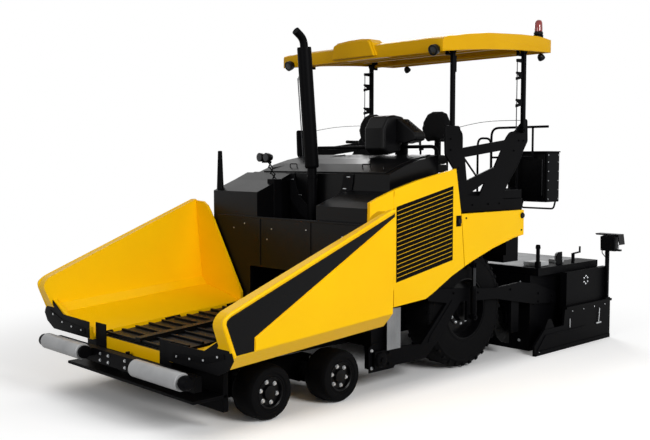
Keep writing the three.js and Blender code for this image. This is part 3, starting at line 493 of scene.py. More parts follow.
hinge_pins = [rod((0.7, y - 0.09, z - 0.006), (0.7, y + 0.09, z + 0.006), 0.026, BLACK)
              for y, z in ((y, 0.61 + (y - WING_FRONT) * CLIMB) for y in (-3.0, -2.17, -1.34))]
both_sides(joined(hinge_pins), "wing_hinge_barrels", "wing_{side}")


# ---- conveyors
def slat(x0, x1, y):
    """One bar of a conveyor, at its place on the climb."""
    z = 0.64 + (y + 3.05) * CLIMB
    return block((x0, y - 0.014, z), (x1, y + 0.014, z + 0.022), WORN_STEEL, 0.003, 1)


slats = [slat(x0, x1, -3.02 + i * 0.16) for i in range(27) for x0, x1 in ((0.05, 0.585), (-0.585, -0.05))]
chain_guard = prism([(-0.045, -3.045, 0.68), (0.045, -3.045, 0.68), (0.045, 1.33, 0.972), (-0.045, 1.33, 0.972)],
                    (0, 0, 0.006), WORN_STEEL, 0.002, 1)
done(joined(slats + [chain_guard]), "conveyor_slats", "chassis")


# ---- side doors and panels
# The outer face of the side panels and doors.
PANEL_X = 1.2655


def louvred_grille():
    """A black recessed panel crossed by sloping yellow louvre edges."""
    y0, y1 = -0.748, 0.183
    lower, upper = (1.124, 1.288), (1.909, 2.106)
    made = [side_prism([(y0, lower[0]), (y1, lower[1]), (y1, upper[1]), (y0, upper[0])], PANEL_X, 0.003,
                       BLACK, 0.001, 1)]
    count = 17
    for i in range(1, count):
        a = lower[0] + (upper[0] - lower[0]) * i / count
        b = lower[1] + (upper[1] - lower[1]) * i / count
        for low, high, x, thick, material, edge in ((0, 0.005, 1.267, 0.003, YELLOW, 0.001),
                                                    (0.008, 0.036, 1.2665, 0.0045, BLACK, 0.002)):
            made.append(side_prism([(y0 + 0.012, a + low), (y1 - 0.012, b + low), (y1 - 0.012, b + high),
                                    (y0 + 0.012, a + high)], x, thick, material, edge, 1))
    return joined(made)


both_sides(louvred_grille(), "door_louvres", "side_door_{side}")
latch = joined([block((PANEL_X, 0.24, 1.655), (1.272, 0.325, 1.775), BLACK, 0.003),
                block((1.272, 0.262, 1.69), (1.284, 0.318, 1.74), PLASTIC, 0.005)])
both_sides(latch, "door_latch", "side_door_{side}")
hinge_barrels = [rod((1.262, -0.785, z), (1.262, -0.785, z + 0.11), 0.009, YELLOW) for z in (1.05, 1.5, 1.9)]
both_sides(joined(hinge_barrels), "door_hinges", "chassis")
edge_line = [(0.425, 1.215), (0.56, 1.268), (0.937, 1.386), (1.346, 1.481), (1.53, 1.506)]
panel_rib = tube([(1.266, y, z) for y, z in edge_line], 0.006, YELLOW, 0.03)
panel_bolts = bolts([(1.266, 1.5, 1.55), (1.266, 0.42, 1.74)], X, 0.009, BLACK)
knob = turned([(CORE, 1.266), (0.034, 1.266), (0.036, 1.275), (0.03, 1.286), (CORE, 1.288)], (0, 1.51, 1.725),
              PLASTIC, X, 24)
rear_cover = block((0.97, 1.56, 1.44), (1.0, 1.9, 1.8), BLACK, 0.008)
both_sides(joined([panel_rib, panel_bolts, knob, rear_cover]), "rear_panel_trim", "chassis")


# ---- hood and back wall
# The hood's crown from front to rear: place along the machine and height.
HOOD_LINE = ((-1.168, 2.026), (-0.85, 2.15), (-0.63, 2.245), (-0.4, 2.33), (-0.17, 2.39), (0.15, 2.445))


def hood_top(y):
    """Height of the crowned hood."""
    for (y0, z0), (y1, z1) in zip(HOOD_LINE, HOOD_LINE[1:]):
        if y <= y1:
            break
    return z0 + (y - y0) * (z1 - z0) / (y1 - y0)


hatch_places = (-0.63, -0.4, -0.17, 0.11)
hatch = joined([prism([(x, y, hood_top(y) + 0.001) for x, y in ((-1.0, a), (1.0, a), (1.0, b), (-1.0, b))],
                      (0, 0, 0.012), GLOSS_BLACK, 0.003) for a, b in zip(hatch_places, hatch_places[1:])])
ribs = [tube([(s * x, y, hood_top(y) + 0.018) for x, y in ((0.92, -0.56), (0.3, 0.07))], 0.007, GLOSS_BLACK, 0)
        for s in SIDES]
handles = [tube([(x + reach, -0.5, hood_top(-0.5) + rise) for reach, rise in ((-0.06, 0.015), (-0.06, 0.05),
                (0.06, 0.05), (0.06, 0.015))], 0.006, BLACK, 0.02) for x in (-0.6, 0.6)]
done(joined([hatch] + ribs + handles), "hood_hatch", "chassis")
marker = turned([(CORE, 1.98), (0.052, 1.98), (0.052, 2.02), (0.042, 2.04), (0.026, 2.49), (0.022, 2.497),
                 (CORE, 2.499)], (-1.25, -1.1, 0), BLACK, Z)
done(marker, "sight_marker", "chassis")
# Small bright zinc blocks on the fan ring, set where its glints fall: painted highlights.
fan_ring_glints = [block((x, -0.667, z), (x + 0.05, -0.663, z + 0.01), ZINC, 0.002, 1)
         for x, z in ((-0.47, 2.16), (-0.33, 1.98), (0.3, 1.95), (0.4, 2.07), (0.46, 2.2))]
fan_ring = prism([(r * math.cos(math.radians(a)), -0.664, 2.235 + r * math.sin(math.radians(a)))
                  for r, turn in ((0.56, range(180, 361, 9)), (0.4, range(360, 179, -9))) for a in turn],
                 (0, 0.009, 0), DARK_PLATE, 0.003, 1)
wall_bolts = bolts([(x, -1.17, z) for x, z in ((-0.9, 1.6), (-0.7, 1.66), (-0.22, 1.62), (-0.3, 1.5), (0.9, 1.6),
                                               (0.35, 1.64))], -Y, 0.006)
wall_folds = [block((x - 0.006, -1.176, 1.2), (x + 0.006, -1.168, 1.73), GLOSS_BLACK, 0.003, 1)
    for x in (-0.42, 0.42)]
wall_lip = block((-1.19, -1.18, 1.728), (1.19, -1.168, 1.75), GLOSS_BLACK, 0.004)
done(joined(fan_ring_glints + [fan_ring, wall_bolts, wall_lip] + wall_folds), "back_wall_fittings", "chassis")


def hopper_lamps():
    """Twin lamps on a scissor arm over a black box, watching the hopper."""
    box = block((-0.58, -0.93, 1.63), (-0.46, -0.8, 2.17), BLACK, 0.008)
    links = []
    for i in range(3):
        low, high = 2.16 + i * 0.07, 2.23 + i * 0.07
        x = -0.52 - i * 0.035
        links += [rod((x - 0.03, -0.875, low), (x + 0.02, -0.875, high), 0.008, BLACK, 0),
                  rod((x + 0.03, -0.86, low), (x - 0.06, -0.86, high), 0.008, BLACK, 0)]
    lamps = []
    for x in (-0.72, -0.6):
        lamps.append(turned([(CORE, -0.05), (0.036, -0.05), (0.05, -0.01), (0.052, 0.03), (0.044, 0.034),
                             (CORE, 0.03)], (x, -0.9, 2.42), PLASTIC, -Y, 28))
        lamps.append(turned([(CORE, 0.031), (0.043, 0.031), (0.043, 0.036), (CORE, 0.038)],
                            (x, -0.9, 2.42), LENS, -Y, 28))
    carrier = block((-0.73, -0.885, 2.355), (-0.59, -0.855, 2.38), BLACK, 0.004)
    return joined([box, carrier] + links + lamps)


done(hopper_lamps(), "hopper_lamps", "chassis")


def exhaust():
    """A leaning stack over a thinner pipe, with a forward outlet and clamp rings."""
    def spine(z):
        return Vector((-0.035, -0.725 - max(0, z - 2.333) * 0.09, z))
    start = spine(2.3)
    end = spine(3.64)
    length = (end - start).length
    stack = turned([(CORE, 0.0), (0.07, 0.0), (0.079, 0.012), (0.08, 0.03), (0.08, length - 0.02),
                    (0.077, length), (0.046, length + 0.002), (CORE, length + 0.002)], start, BLACK, Z, 48)
    turn = Z.rotation_difference(end - start).to_matrix().to_4x4()
    stack.data.transform(Matrix.Translation(start) @ turn @ Matrix.Translation(-start))
    pipe = tube([spine(1.632), spine(2.31)], 0.054, BLACK, 0, 8)
    outlet = tube([spine(3.6), spine(3.73), spine(3.73) + Vector((0, -0.118, 0.08))], 0.045, BLACK, 0.12, 8)
    rings = [turned([(0.05, -0.015), (0.064, -0.015), (0.064, 0.015), (0.05, 0.015)], spine(z), BLACK, Z, 32)
             for z in (1.66, 2.2)]
    aside = Vector((-0.066, -0.066, 0))
    sense = tube([spine(2.36) + aside, spine(3.3) + aside], 0.006, DARK_STEEL, 0)
    brackets = [block(spine(z) + aside * 0.8 - Vector((0.014, 0.014, h)), spine(z) + aside * 1.1 + Vector((0.014,
                      0.014, h)), BLACK, 0.003, 1) for z, h in ((2.4, 0.015), (3.28, 0.04))]
    return joined([stack, pipe, outlet, sense] + rings + brackets)


done(exhaust(), "exhaust_pipework", "chassis", "exhaust_stack")


# ---- platform
def operators_platform():
    """The deck and the landing behind it, with rails and a short ladder."""
    front_deck = [(-1.18, 0.18), (1.18, 0.18), (1.18, 1.64), (-1.18, 1.64)]
    landing = [(-0.6, 1.636), (0.6, 1.636), (0.6, 2.43), (-0.6, 2.43)]
    parts = []
    for deck, top in ((front_deck, 1.93), (landing, 1.92)):
        inner = [(x - math.copysign(0.02, x), y + (0.015 if y < 1.64 and deck is front_deck else -0.01))
            for x, y in deck]
        parts += [prism([(x, y, 1.79) for x, y in deck], (0, 0, top - 1.796), BLACK, 0.006),
                  prism([(x, y, top - 0.006) for x, y in inner], (0, 0, 0.006), DARK_PLATE, 0.002, 1)]
    rails = [tube([(-1.0, 0.215, 1.92), (-1.0, 0.215, 2.54), (1.0, 0.215, 2.54), (1.0, 0.215, 1.92)], 0.02,
                  BLACK, 0.08, 6),
             tube([(0.17, 2.39, 1.91), (0.17, 2.39, 2.815), (1.05, 2.39, 2.815)], 0.016, BLACK, 0.12, 5),
             tube([(-0.33, 2.39, 1.91), (-0.33, 2.39, 2.815), (-0.585, 2.39, 2.815), (-0.585, 2.39, 1.91)], 0.016,
                  BLACK, 0.12, 5),
             rod((0.585, 2.39, 1.91), (0.585, 2.39, 2.815), 0.014, BLACK, 0),
             rod((0.82, 2.39, 2.406), (0.82, 2.39, 2.815), 0.014, BLACK, 0),
             rod((0.17, 2.39, 2.42), (0.83, 2.39, 2.42), 0.014, BLACK, 0)]
    for s in SIDES:
        rails.append(tube([(s * 0.585, 1.53, 1.92), (s * 0.585, 1.53, 2.66), (s * 0.585, 1.81, 2.66),
                           (s * 0.585, 1.81, 1.91)], 0.014, BLACK, 0.1, 5))
        parts.append(block((s * 1.165 - 0.01, 0.3, 1.93), (s * 1.165 + 0.01, 1.63, 2.03), BLACK, 0.003, 1))
        parts.append(block((s * 0.585 - 0.01, 1.65, 1.92), (s * 0.585 + 0.01, 2.42, 2.02), BLACK, 0.003, 1))
    ladder = [block((x, 2.37, 1.58), (x + 0.04, 2.43, 1.915), BLACK, 0.004) for x in (0.11, -0.31)]
    rungs = [block((-0.29, 2.372, z), (0.13, 2.428, z + 0.03), DARK_PLATE, 0.006) for z in (1.6, 1.76)]
    return joined(parts + rails + ladder + rungs)


done(operators_platform(), "platform_deck_and_rails", "chassis", "platform")
# The outline of a side guard, all the way round.
GUARD_EDGE = ((0.3, 1.98), (0.3, 2.25), (0.273, 2.283), (0.116, 2.451), (0.104, 2.755), (0.35, 2.755),
              (0.399, 2.512), (1.226, 2.612), (1.265, 2.659), (1.325, 2.708), (1.417, 2.72), (1.61, 2.868),
              (1.664, 2.871), (1.675, 2.618), (1.579, 2.492), (1.499, 2.352), (1.308, 2.151), (1.2, 2.011))
guard_bolts = bolts([(1.217, y, z) for y, z in ((0.2, 2.62), (0.2, 2.5), (0.34, 2.3), (1.5, 2.62), (1.6, 2.62),
                                                (1.6, 2.74), (1.4, 2.5), (0.6, 1.88), (0.9, 1.88), (1.12, 1.88))],
                    X, 0.01, BLACK)
guard_edge = tube([(1.206, y, z) for y, z in GUARD_EDGE], 0.013, BLACK, 0.02)
guard_brace = tube([(1.2, 0.455, 2.41), (1.2, 0.69, 2.2)], 0.011, BLACK, 0)
hand_line = tube([(1.206, y, z) for y, z in ((0.34, 2.75), (0.549, 2.788), (0.735, 2.815), (0.925, 2.834),
    (1.121, 2.846), (1.424, 2.859), (1.64, 2.866))], 0.0035, DARK_STEEL, 0.05)
both_sides(joined([guard_bolts, guard_edge, guard_brace, hand_line]), "guard_edge_and_bolts", "chassis")


# ---- seats
def inflated(piece, voxel, cap):
    """Swells a closed shape like foam under cloth, holding every point within cap of where it was."""
    apply_modifier(piece, "REMESH", mode="VOXEL", voxel_size=voxel)
    rest = [v.co.copy() for v in piece.data.vertices]
    only(piece)
    modifier = piece.modifiers.new("Cloth", "CLOTH")
    modifier.settings.use_pressure = True
    modifier.settings.uniform_pressure_force = 4.0
    modifier.settings.effector_weights.gravity = 0.0
    modifier.point_cache.frame_end = 20
    for step in range(1, 21):
        bpy.context.scene.frame_set(step)
    bpy.ops.object.modifier_apply(modifier=modifier.name)
    bpy.context.scene.frame_set(1)
    for vertex, start in zip(piece.data.vertices, rest):
        moved = vertex.co - start
        if moved.length > cap:
            vertex.co = start + moved.normalized() * cap
    return piece


def seat():
    """A cushion and a waisted backrest on a sprung base."""
    x, y = 0.53, 0.34
    cushion = block((x - 0.22, y + 0.015, 2.355), (x + 0.22, y + 0.445, 2.43), SEAT, 0.03, 3)
    cushion = inflated(cushion, 0.009, 0.018)
    half = [(0.13, 0.4, 2.6), (0.19, 0.405, 2.66), (0.225, 0.41, 2.77), (0.205, 0.42, 2.86), (0.15, 0.435, 2.95),
            (0.07, 0.44, 2.982)]
    back = prism([(x - a, y + b, z) for a, b, z in half] + [(x + a, y + b, z) for a, b, z in reversed(half)],
                 (0, 0.05, 0), SEAT, 0.015, 2)
    back = inflated(back, 0.009, 0.018)
    for soft in (cushion, back):
        only(soft)
        bpy.ops.object.shade_smooth()
    base = joined([block((x - 0.15, y + 0.1, 1.931), (x + 0.15, y + 0.4, 2.0), BLACK, 0.01),
                   block((x - 0.1, y + 0.12, 2.0), (x + 0.1, y + 0.34, 2.24), PLASTIC, 0.02),
                   block((x - 0.2, y + 0.05, 2.24), (x + 0.2, y + 0.42, 2.335), PLASTIC, 0.015),
                   block((x - 0.03, y + 0.44, 2.28), (x + 0.03, y + 0.5, 2.8), BLACK, 0.008)])
    arms = []
    for s in SIDES:
        at = x + s * 0.25
        arms.append(joined([rod((at, y + 0.44, 2.5), (at, y + 0.44, 2.62), 0.014, BLACK),
                            rod((x + s * 0.2, y + 0.44, 2.52), (x + s * 0.26, y + 0.44, 2.52), 0.014, BLACK),
                            block((at - 0.03, y + 0.24, 2.6), (at + 0.03, y + 0.44, 2.64), PLASTIC, 0.014)]))
    return cushion, back, joined([base] + arms)


cushion, back, seat_base = seat()
for soft, name in ((cushion, "seat_cushion"), (back, "seat_backrest")):
    for piece in both_sides(soft, name, "chassis"):
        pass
both_sides(seat_base, "seat_base_and_arms", "chassis", "seat_{side}")


# ---- console, cabinet
def operators_console():
    """A hooded pod over the front rail, with a side desk that slopes away and a screen."""
    pod = side_prism([(-0.06, 2.445), (-0.148, 2.51), (-0.148, 2.75), (-0.06, 2.885), (0.06, 2.902), (0.2, 2.885),
                      (0.328, 2.72), (0.328, 2.588), (0.182, 2.588), (0.152, 2.485)], 0.225, 0.3, PLASTIC, 0.028, 4)
    cheeks = [side_prism([(-0.04, 2.47), (-0.12, 2.53), (-0.12, 2.74), (-0.045, 2.86), (0.06, 2.875), (0.14, 2.86),
                          (0.14, 2.52)], x, 0.006, PLASTIC, 0.005) for x in (0.221, 0.523)]
    desk = front_prism([(0.515, 2.6), (0.515, 2.862), (0.57, 2.858), (0.8, 2.705), (0.828, 2.66),
                  (0.815, 2.612), (0.64, 2.575)], 0.06, 0.18, PLASTIC, 0.018, 3)
    leg = block((0.34, 0.25, 2.3), (0.48, 0.32, 2.62), BLACK, 0.012)
    panel = prism([(0.255, 0.209, 2.878), (0.495, 0.209, 2.878), (0.495, 0.322, 2.732), (0.255, 0.322, 2.732)],
                  (0, 0.004, 0.003), SCREEN, 0.001, 1)
    knobs = [turned([(CORE, -0.01), (0.014, -0.01), (0.012, 0.012), (CORE, 0.014)],
                    (x, 0.17, 2.862 - (x - 0.57) * 0.66), PLASTIC, Z, 20) for x in (0.6, 0.65, 0.7, 0.75)]
    return joined([pod, desk, leg, panel] + cheeks + knobs)


done(operators_console(), "console_cover_and_panel", "console", "console")


def tool_cabinet():
    """A box with a riveted face, a door and a lid, on a bent stay."""
    body = block((0.4, 2.445, 1.84), (1.0, 2.75, 2.49), BLACK, 0.01)
    skin = block((1.0, 2.46, 1.86), (1.004, 2.735, 2.47), CASTING, 0.001, 1)
    rivets = bolts([(1.004, y, z) for y in (2.48, 2.715) for z in (1.88, 2.0, 2.12, 2.24, 2.36, 2.45)], X, 0.006)
    door = block((0.43, 2.437, 1.9), (0.97, 2.445, 2.46), GLOSS_BLACK, 0.006)
    lid = block((0.39, 2.44, 2.486), (1.008, 2.76, 2.502), BLACK, 0.005)
    arm = block((0.45, 2.431, 1.85), (0.95, 2.45, 1.9), BLACK, 0.004)
    stay = tube([(0.45, 2.74, 1.84), (0.45, 2.7, 1.745), (0.95, 2.7, 1.745), (0.95, 2.74, 1.84)], 0.012, BLACK, 0.04)
    # A thin line of bright steel round the door: a painted highlight standing for the light on the door's edges.
    door_edge_highlight = tube([(0.55, 2.434, 1.93), (0.55, 2.434, 2.4), (0.94, 2.434, 2.4), (0.94, 2.434, 1.93)], 0.004,
                      DARK_STEEL, 0.02)
    return joined([body, skin, rivets, door, lid, arm, stay, door_edge_highlight])


done(tool_cabinet(), "cabinet_shell", "chassis", "rear_cabinet")


# ---- roof
def roof_low(y):
    """Height of the sloping plane that the roof is drawn from."""
    return 3.555 + y * 0.0696


ROOF_FRONT, ROOF_REAR = -0.05, 2.04
# Where the beacon stands on the roof.
BEACON_FOOT = (1.2, 1.9, 3.915)
# How high the roof's upper edge stands over that plane, from front to rear.
ROOF_EDGE = ((-0.05, 0.128), (0.05, 0.155), (0.4, 0.19), (0.8, 0.213), (1.4, 0.21), (1.8, 0.194), (2.04, 0.155))


def roof_skin():
    """A crowned sheet with a turned-down edge, arched along the sides."""
    front, rear, half = ROOF_FRONT, ROOF_REAR, 1.292
    bpy.ops.mesh.primitive_grid_add(x_subdivisions=28, y_subdivisions=30, size=1)
    piece = settled(bpy.context.object, GEL_COAT_PAINTED_SHADE)

    def arch(y):
        return math.sin(math.pi * min(max((y - front) / (rear - front), 0), 1))

    def edge(y):
        for (y0, e0), (y1, e1) in zip(ROOF_EDGE, ROOF_EDGE[1:]):
            if y <= y1:
                break
        return e0 + (e1 - e0) * (y - y0) / (y1 - y0)

    for vertex in piece.data.vertices:
        x, y = vertex.co.x * 2 * half, front + (vertex.co.y + 0.5) * (rear - front)
        side = abs(x) / half
        vertex.co = (x, y, roof_low(y) + edge(y) + 0.018 * (1 - (max(0, side - 0.82) / 0.18) ** 2))
    edited(piece, (bpy.ops.mesh.region_to_loop, {}),
           (bpy.ops.mesh.extrude_region_move, {"TRANSFORM_OT_translate": {"value": (0, 0, -0.08)}}))
    for vertex in piece.data.vertices:
        if vertex.select:
            y = vertex.co.y
            vertex.co.z = roof_low(y) + 0.028 * arch(y)
    apply_modifier(piece, "SOLIDIFY", thickness=0.012, offset=-1)
    round_edges(piece, 0.005, 2)
    bpy.ops.object.shade_smooth_by_angle(angle=math.radians(28))
    return piece


def work_lamp(x, y, z, tilt, size):
    """A round lamp in a black housing, looking forwards or backwards and a little down."""
    housing = turned([(CORE, -0.045), (0.03, -0.045), (0.05, -0.02), (0.056, 0.02), (0.056, 0.036), (0.042, 0.039),
                      (0.038, 0.03), (CORE, 0.03)], (0, 0, 0), PLASTIC, Z, 36)
    lens = turned([(CORE, 0.031), (0.038, 0.031), (0.038, 0.034), (0.02, 0.037), (CORE, 0.038)], (0, 0, 0),
                  LENS, Z, 36)
    lamp = joined([housing, lens])
    turn = Z.rotation_difference(Vector((0, tilt, -0.35))).to_matrix().to_4x4()
    lamp.data.transform(Matrix.Translation((x, y, z)) @ turn @ Matrix.Scale(size, 4))
    return lamp


def roof():
    """The roof shell with its blank panel, side bands, lamps, lining and post brackets."""
    front, rear = ROOF_FRONT, ROOF_REAR
    low = roof_low(front)

    def badge(grow, y, deep):
        """The bulged blank panel at the middle of the roof's front."""
        foot = low + 0.027
        return front_prism([(-0.366 - grow, foot), (-0.34 - grow, 3.735), (-0.3, 3.752 + grow), (-0.1, 3.768 + grow),
                      (0.1, 3.77 + grow), (0.22, 3.758 + grow), (0.25 + grow, 3.735), (0.32 + grow, foot)], y, deep,
                      GEL_COAT_PAINTED_SHADE, 0.012, 3)

    signs = [badge(0.0, front - 0.045, 0.3), badge(0.02, front - 0.018, 0.2)]
    bands = [side_prism([(-0.035, 3.565), (-0.04, 3.695), (0.063, 3.724), (0.413, 3.762), (0.782, 3.774),
                         (1.372, 3.753), (1.793, 3.725), (2.0, 3.715), (2.0, 3.698), (1.58, 3.69), (1.172, 3.664),
                         (0.784, 3.637), (0.416, 3.604)], min(s * 1.288, s * 1.296), 0.008, GEL_COAT_PAINTED_SHADE, 0.003, 2)
                         for s in SIDES]
    lamps = [work_lamp(x, front - 0.03, low + 0.02, -1, 1.08) for x in (1.205, -1.131)]
    lamps += [work_lamp(x, rear - 0.055, roof_low(rear) - 0.045, 0.4, 0.8) for x in (1.185, -0.99)]
    y0, z0, y1, z1 = front + 0.02, low + 0.085, rear - 0.02, roof_low(rear) + 0.1
    lining = prism([(-1.27, y0, z0), (1.27, y0, z0), (1.27, y1, z1), (-1.27, y1, z1)], (0, 0, 0.006), GEL_COAT_PAINTED_SHADE, 0, 1)
    ribs = [block((-1.08, y - 0.02, roof_low(y) + 0.05), (1.08, y + 0.02, roof_low(y) + 0.11), GEL_COAT_PAINTED_SHADE, 0.005)
            for y in (0.5, 0.85, 1.2)]
    cheeks = []
    for s in SIDES:
        for a, y, z in ((1.094, 0.28, 3.595), (1.17, 1.53, 3.675)):
            near, far = sorted((s * a, s * (a + 0.03)))
            cheeks.append(block((near, y - 0.048, z - 0.048), (far, y + 0.048, z + 0.08), BLACK, 0.006))
    foot = turned([(CORE, -0.06), (0.056, -0.06), (0.06, -0.01), (0.05, 0.0), (CORE, 0.0)],
                  BEACON_FOOT, BLACK, Z, 32)
    return joined([roof_skin(), foot, lining] + signs + bands + lamps + ribs + cheeks)


done(roof(), "roof_shell_and_lamps", "roof", "roof")
beacon_base = turned([(CORE, 0.002), (0.055, 0.002), (0.058, 0.02), (0.05, 0.034), (CORE, 0.036)],
                     BEACON_FOOT, PLASTIC, Z, 36)
beacon_dome = turned([(CORE, 0.036), (0.048, 0.036), (0.05, 0.06), (0.046, 0.14), (0.034, 0.168), (0.012, 0.178),
                      (CORE, 0.179)], BEACON_FOOT, BEACON_LENS, Z, 36)
done(joined([beacon_base, beacon_dome]), "beacon_lamp", "roof", "beacon")


def roof_posts(inner, outer, y, pivot, fittings):
    """A pair of posts with bored eyes, tied across the top by a tube painted like the roof's underside."""
    top = pivot + 0.93
    side = [block((inner, y - 0.025, pivot + 0.028), (outer, y + 0.025, top), BLACK, 0.007)]
    side += [turned([(0.018, inner), (0.034, inner), (0.034, outer), (0.018, outer)], (0, y, z), BLACK)
             for z in (pivot, top)]
    left = joined(side + fittings)
    return joined([left, mirrored(left), rod((-inner, y, top), (inner, y, top), 0.021, GEL_COAT_PAINTED_SHADE, 0)])


stop = block((1.152, 0.3, 3.36), (1.184, 0.33, 3.54), BLACK, 0.004)
done(roof_posts(1.146, 1.19, 0.28, 2.665, [stop]), "front_post_frame", "front_posts",
    "roof_posts_front")
spring = rod((1.246, 1.392, 2.74), (1.246, 1.398, 3.57), 0.006, DARK_STEEL, 0)
clamps = [side_prism([(1.38, z), (1.378, z + 0.035), (1.44, z + 0.05), (1.378, z + 0.08), (1.382, z + 0.1),
                      (1.51, z + 0.1), (1.51, z + 0.03)], 1.236, 0.02, BLACK, 0.003) for z in (3.01, 3.33)]
clamps.append(side_prism([(1.385, 3.545), (1.385, 3.58), (1.51, 3.59), (1.51, 3.54)], 1.236, 0.02, BLACK, 0.003))
done(roof_posts(1.222, 1.27, 1.53, 2.745, [spring] + clamps), "rear_post_frame", "rear_posts",
     "roof_posts_rear")


# ---- tow points, arms, lift cylinders
tow_plate = side_prism([(-1.04, 0.2), (-1.04, 0.46), (-0.98, 0.5), (-0.62, 0.5), (-0.56, 0.44), (-0.56, 0.3),
                        (-0.66, 0.2)], 1.15, 0.008, BLACK, 0.003)
tow_bolts = bolts([(1.159, y, z) for y, z in ((-1.0, 0.43), (-0.6, 0.43), (-0.6, 0.3), (-1.0, 0.25))], X, 0.015)
gauge = joined([block((1.215, -0.83, 0.42), (1.219, -0.62, 0.85), TREAD_PLATE, 0.001, 1),
                block((1.15, -0.8, 0.8), (1.217, -0.7, 0.83), BLACK, 0.003)])
both_sides(joined([tow_plate, tow_bolts, gauge]), "tow_point_plate", "chassis")
pin_cap = turned([(CORE, 1.197), (0.075, 1.197), (0.08, 1.205), (0.07, 1.22), (0.034, 1.228), (CORE, 1.228)],
                 (0, -0.9, 0.33), BLACK)
overlay = side_prism([(-0.15, 0.4), (0.0, 0.4), (0.36, 0.77), (0.27, 0.83), (-0.12, 0.46)], 1.1955, 0.006,
                     BLACK, 0.002)
arm_bolts = bolts([(1.196, y, z) for y, z in ((-0.78, 0.39), (-0.78, 0.27), (0.3, 0.9), (0.75, 0.86), (1.4, 0.83),
                                              (2.0, 0.72), (2.0, 0.62), (2.3, 0.66), (2.3, 0.59))], X, 0.013, BLACK)
both_sides(joined([pin_cap, overlay, arm_bolts]), "tow_arm_fittings", "screed")


def lift_cylinder():
    """The left screed lift cylinder: the barrel on the arm's side and the rod on the chassis pin."""
    x, y, low = 1.245, 0.6, 0.6
    barrel = turned([(0.0255, 0.06), (0.0255, 0.352), (0.034, 0.352), (0.039, 0.34), (0.039, 0.3), (0.036, 0.29),
                     (0.036, 0.045), (0.028, 0.03), (0.012, 0.028), (CORE, 0.045), (CORE, 0.06)], (x, y, low),
                    BLACK, Z, 36)
    eye = turned([(0.0202, x - 0.03), (0.034, x - 0.03), (0.034, x + 0.03), (0.0202, x + 0.03)], (0, y, low), BLACK)
    ports = [block((x - 0.012, y + 0.03, low + z), (x + 0.012, y + 0.05, low + z + 0.024), BLACK, 0.003)
             for z in (0.07, 0.3)]
    # The chrome rod is drawn in dark steel: painted shade.
    rod_bar = turned([(CORE, 0.275), (0.02, 0.275), (0.022, 0.28), (0.022, 0.57), (CORE, 0.572)], (x, y, low),
                     DARK_STEEL, Z, 36)
    rod_eye = turned([(0.026, x - 0.026), (0.038, x - 0.026), (0.038, x + 0.026), (0.026, x + 0.026)], (0, y, 1.2),
                     BLACK)
    return joined([barrel, eye] + ports), joined([rod_bar, rod_eye])


barrel, rod_piece = lift_cylinder()
both_sides(barrel, "lift_cylinder_barrel", "lift_barrel_{side}", "lift_barrel_{side}")
both_sides(rod_piece, "lift_cylinder_rod", "lift_rod_{side}", "lift_rod_{side}")


# ---- screed
def screed_fittings():
    """The walkway, its lips, and the adjusters and boxes that stand on it."""
    deck = block((-0.96, 1.95, 1.04), (0.96, 3.32, 1.045), TREAD_PLATE, 0.001, 1)
    lips = [block((-1.254, y - 0.006, 0.96), (1.254, y + 0.006, 1.047), BLACK, 0.002, 1) for y in (1.905, 3.32)]
    lips += [block((min(s * 0.962, s * 1.25), 1.915, 1.04), (max(s * 0.962, s * 1.25), 3.31, 1.045), BLACK, 0.001, 1)
             for s in SIDES]
    front_bolts = bolts([(x, 1.879, z) for x in (-1.0, -0.6, -0.2, 0.2, 0.6, 1.0) for z in (0.12, 0.86)], -Y, 0.014)
    ribs = [block((x - 0.01, 1.865, 0.1), (x + 0.01, 1.88, 0.84), BLACK, 0.003, 1)
            for x in (-0.8, -0.4, 0.0, 0.4, 0.8)]
    towers = []
    for s in SIDES:
        stand, arm, box = s * 1.18, s * 1.2, s * 1.05
        towers += [
            rod((stand, 2.0, 1.04), (stand, 2.0, 1.29), 0.024, BLACK),
            turned([(CORE, 1.28), (0.03, 1.28), (0.032, 1.3), (0.026, 1.33), (CORE, 1.335)], (stand, 2.0, 0),
                   BLACK, Z, 28),
            block((stand - 0.03, 1.97, 1.04), (stand + 0.03, 2.03, 1.12), BLACK, 0.006),
            rod((arm, 2.79, 1.04), (arm, 2.79, 1.17), 0.022, BLACK),
            rod((arm, 2.785, 1.165), (arm, 2.96, 1.175), 0.011, BLACK),
            rod((arm, 2.955, 1.165), (arm, 2.955, 1.25), 0.013, PLASTIC),
            side_prism([(2.39, 1.045), (2.39, 1.16), (2.44, 1.21), (2.52, 1.21), (2.53, 1.045)], arm - 0.006, 0.012,
                       BLACK, 0.003),
            turned([(CORE, 0.0), (0.062, 0.0), (0.062, 0.02), (CORE, 0.02)], (s * 1.14, 2.5, 1.14), GREY, X, 28),
            block((box - 0.12, 2.05, 1.045), (box + 0.1, 2.3, 1.1), GREY, 0.008),
            block((box - 0.1, 2.6, 1.045), (box + 0.06, 2.72, 1.09), GREY, 0.008)]
    return joined([deck, front_bolts] + lips + ribs + towers)


done(screed_fittings(), "screed_walkway_fittings", "screed")


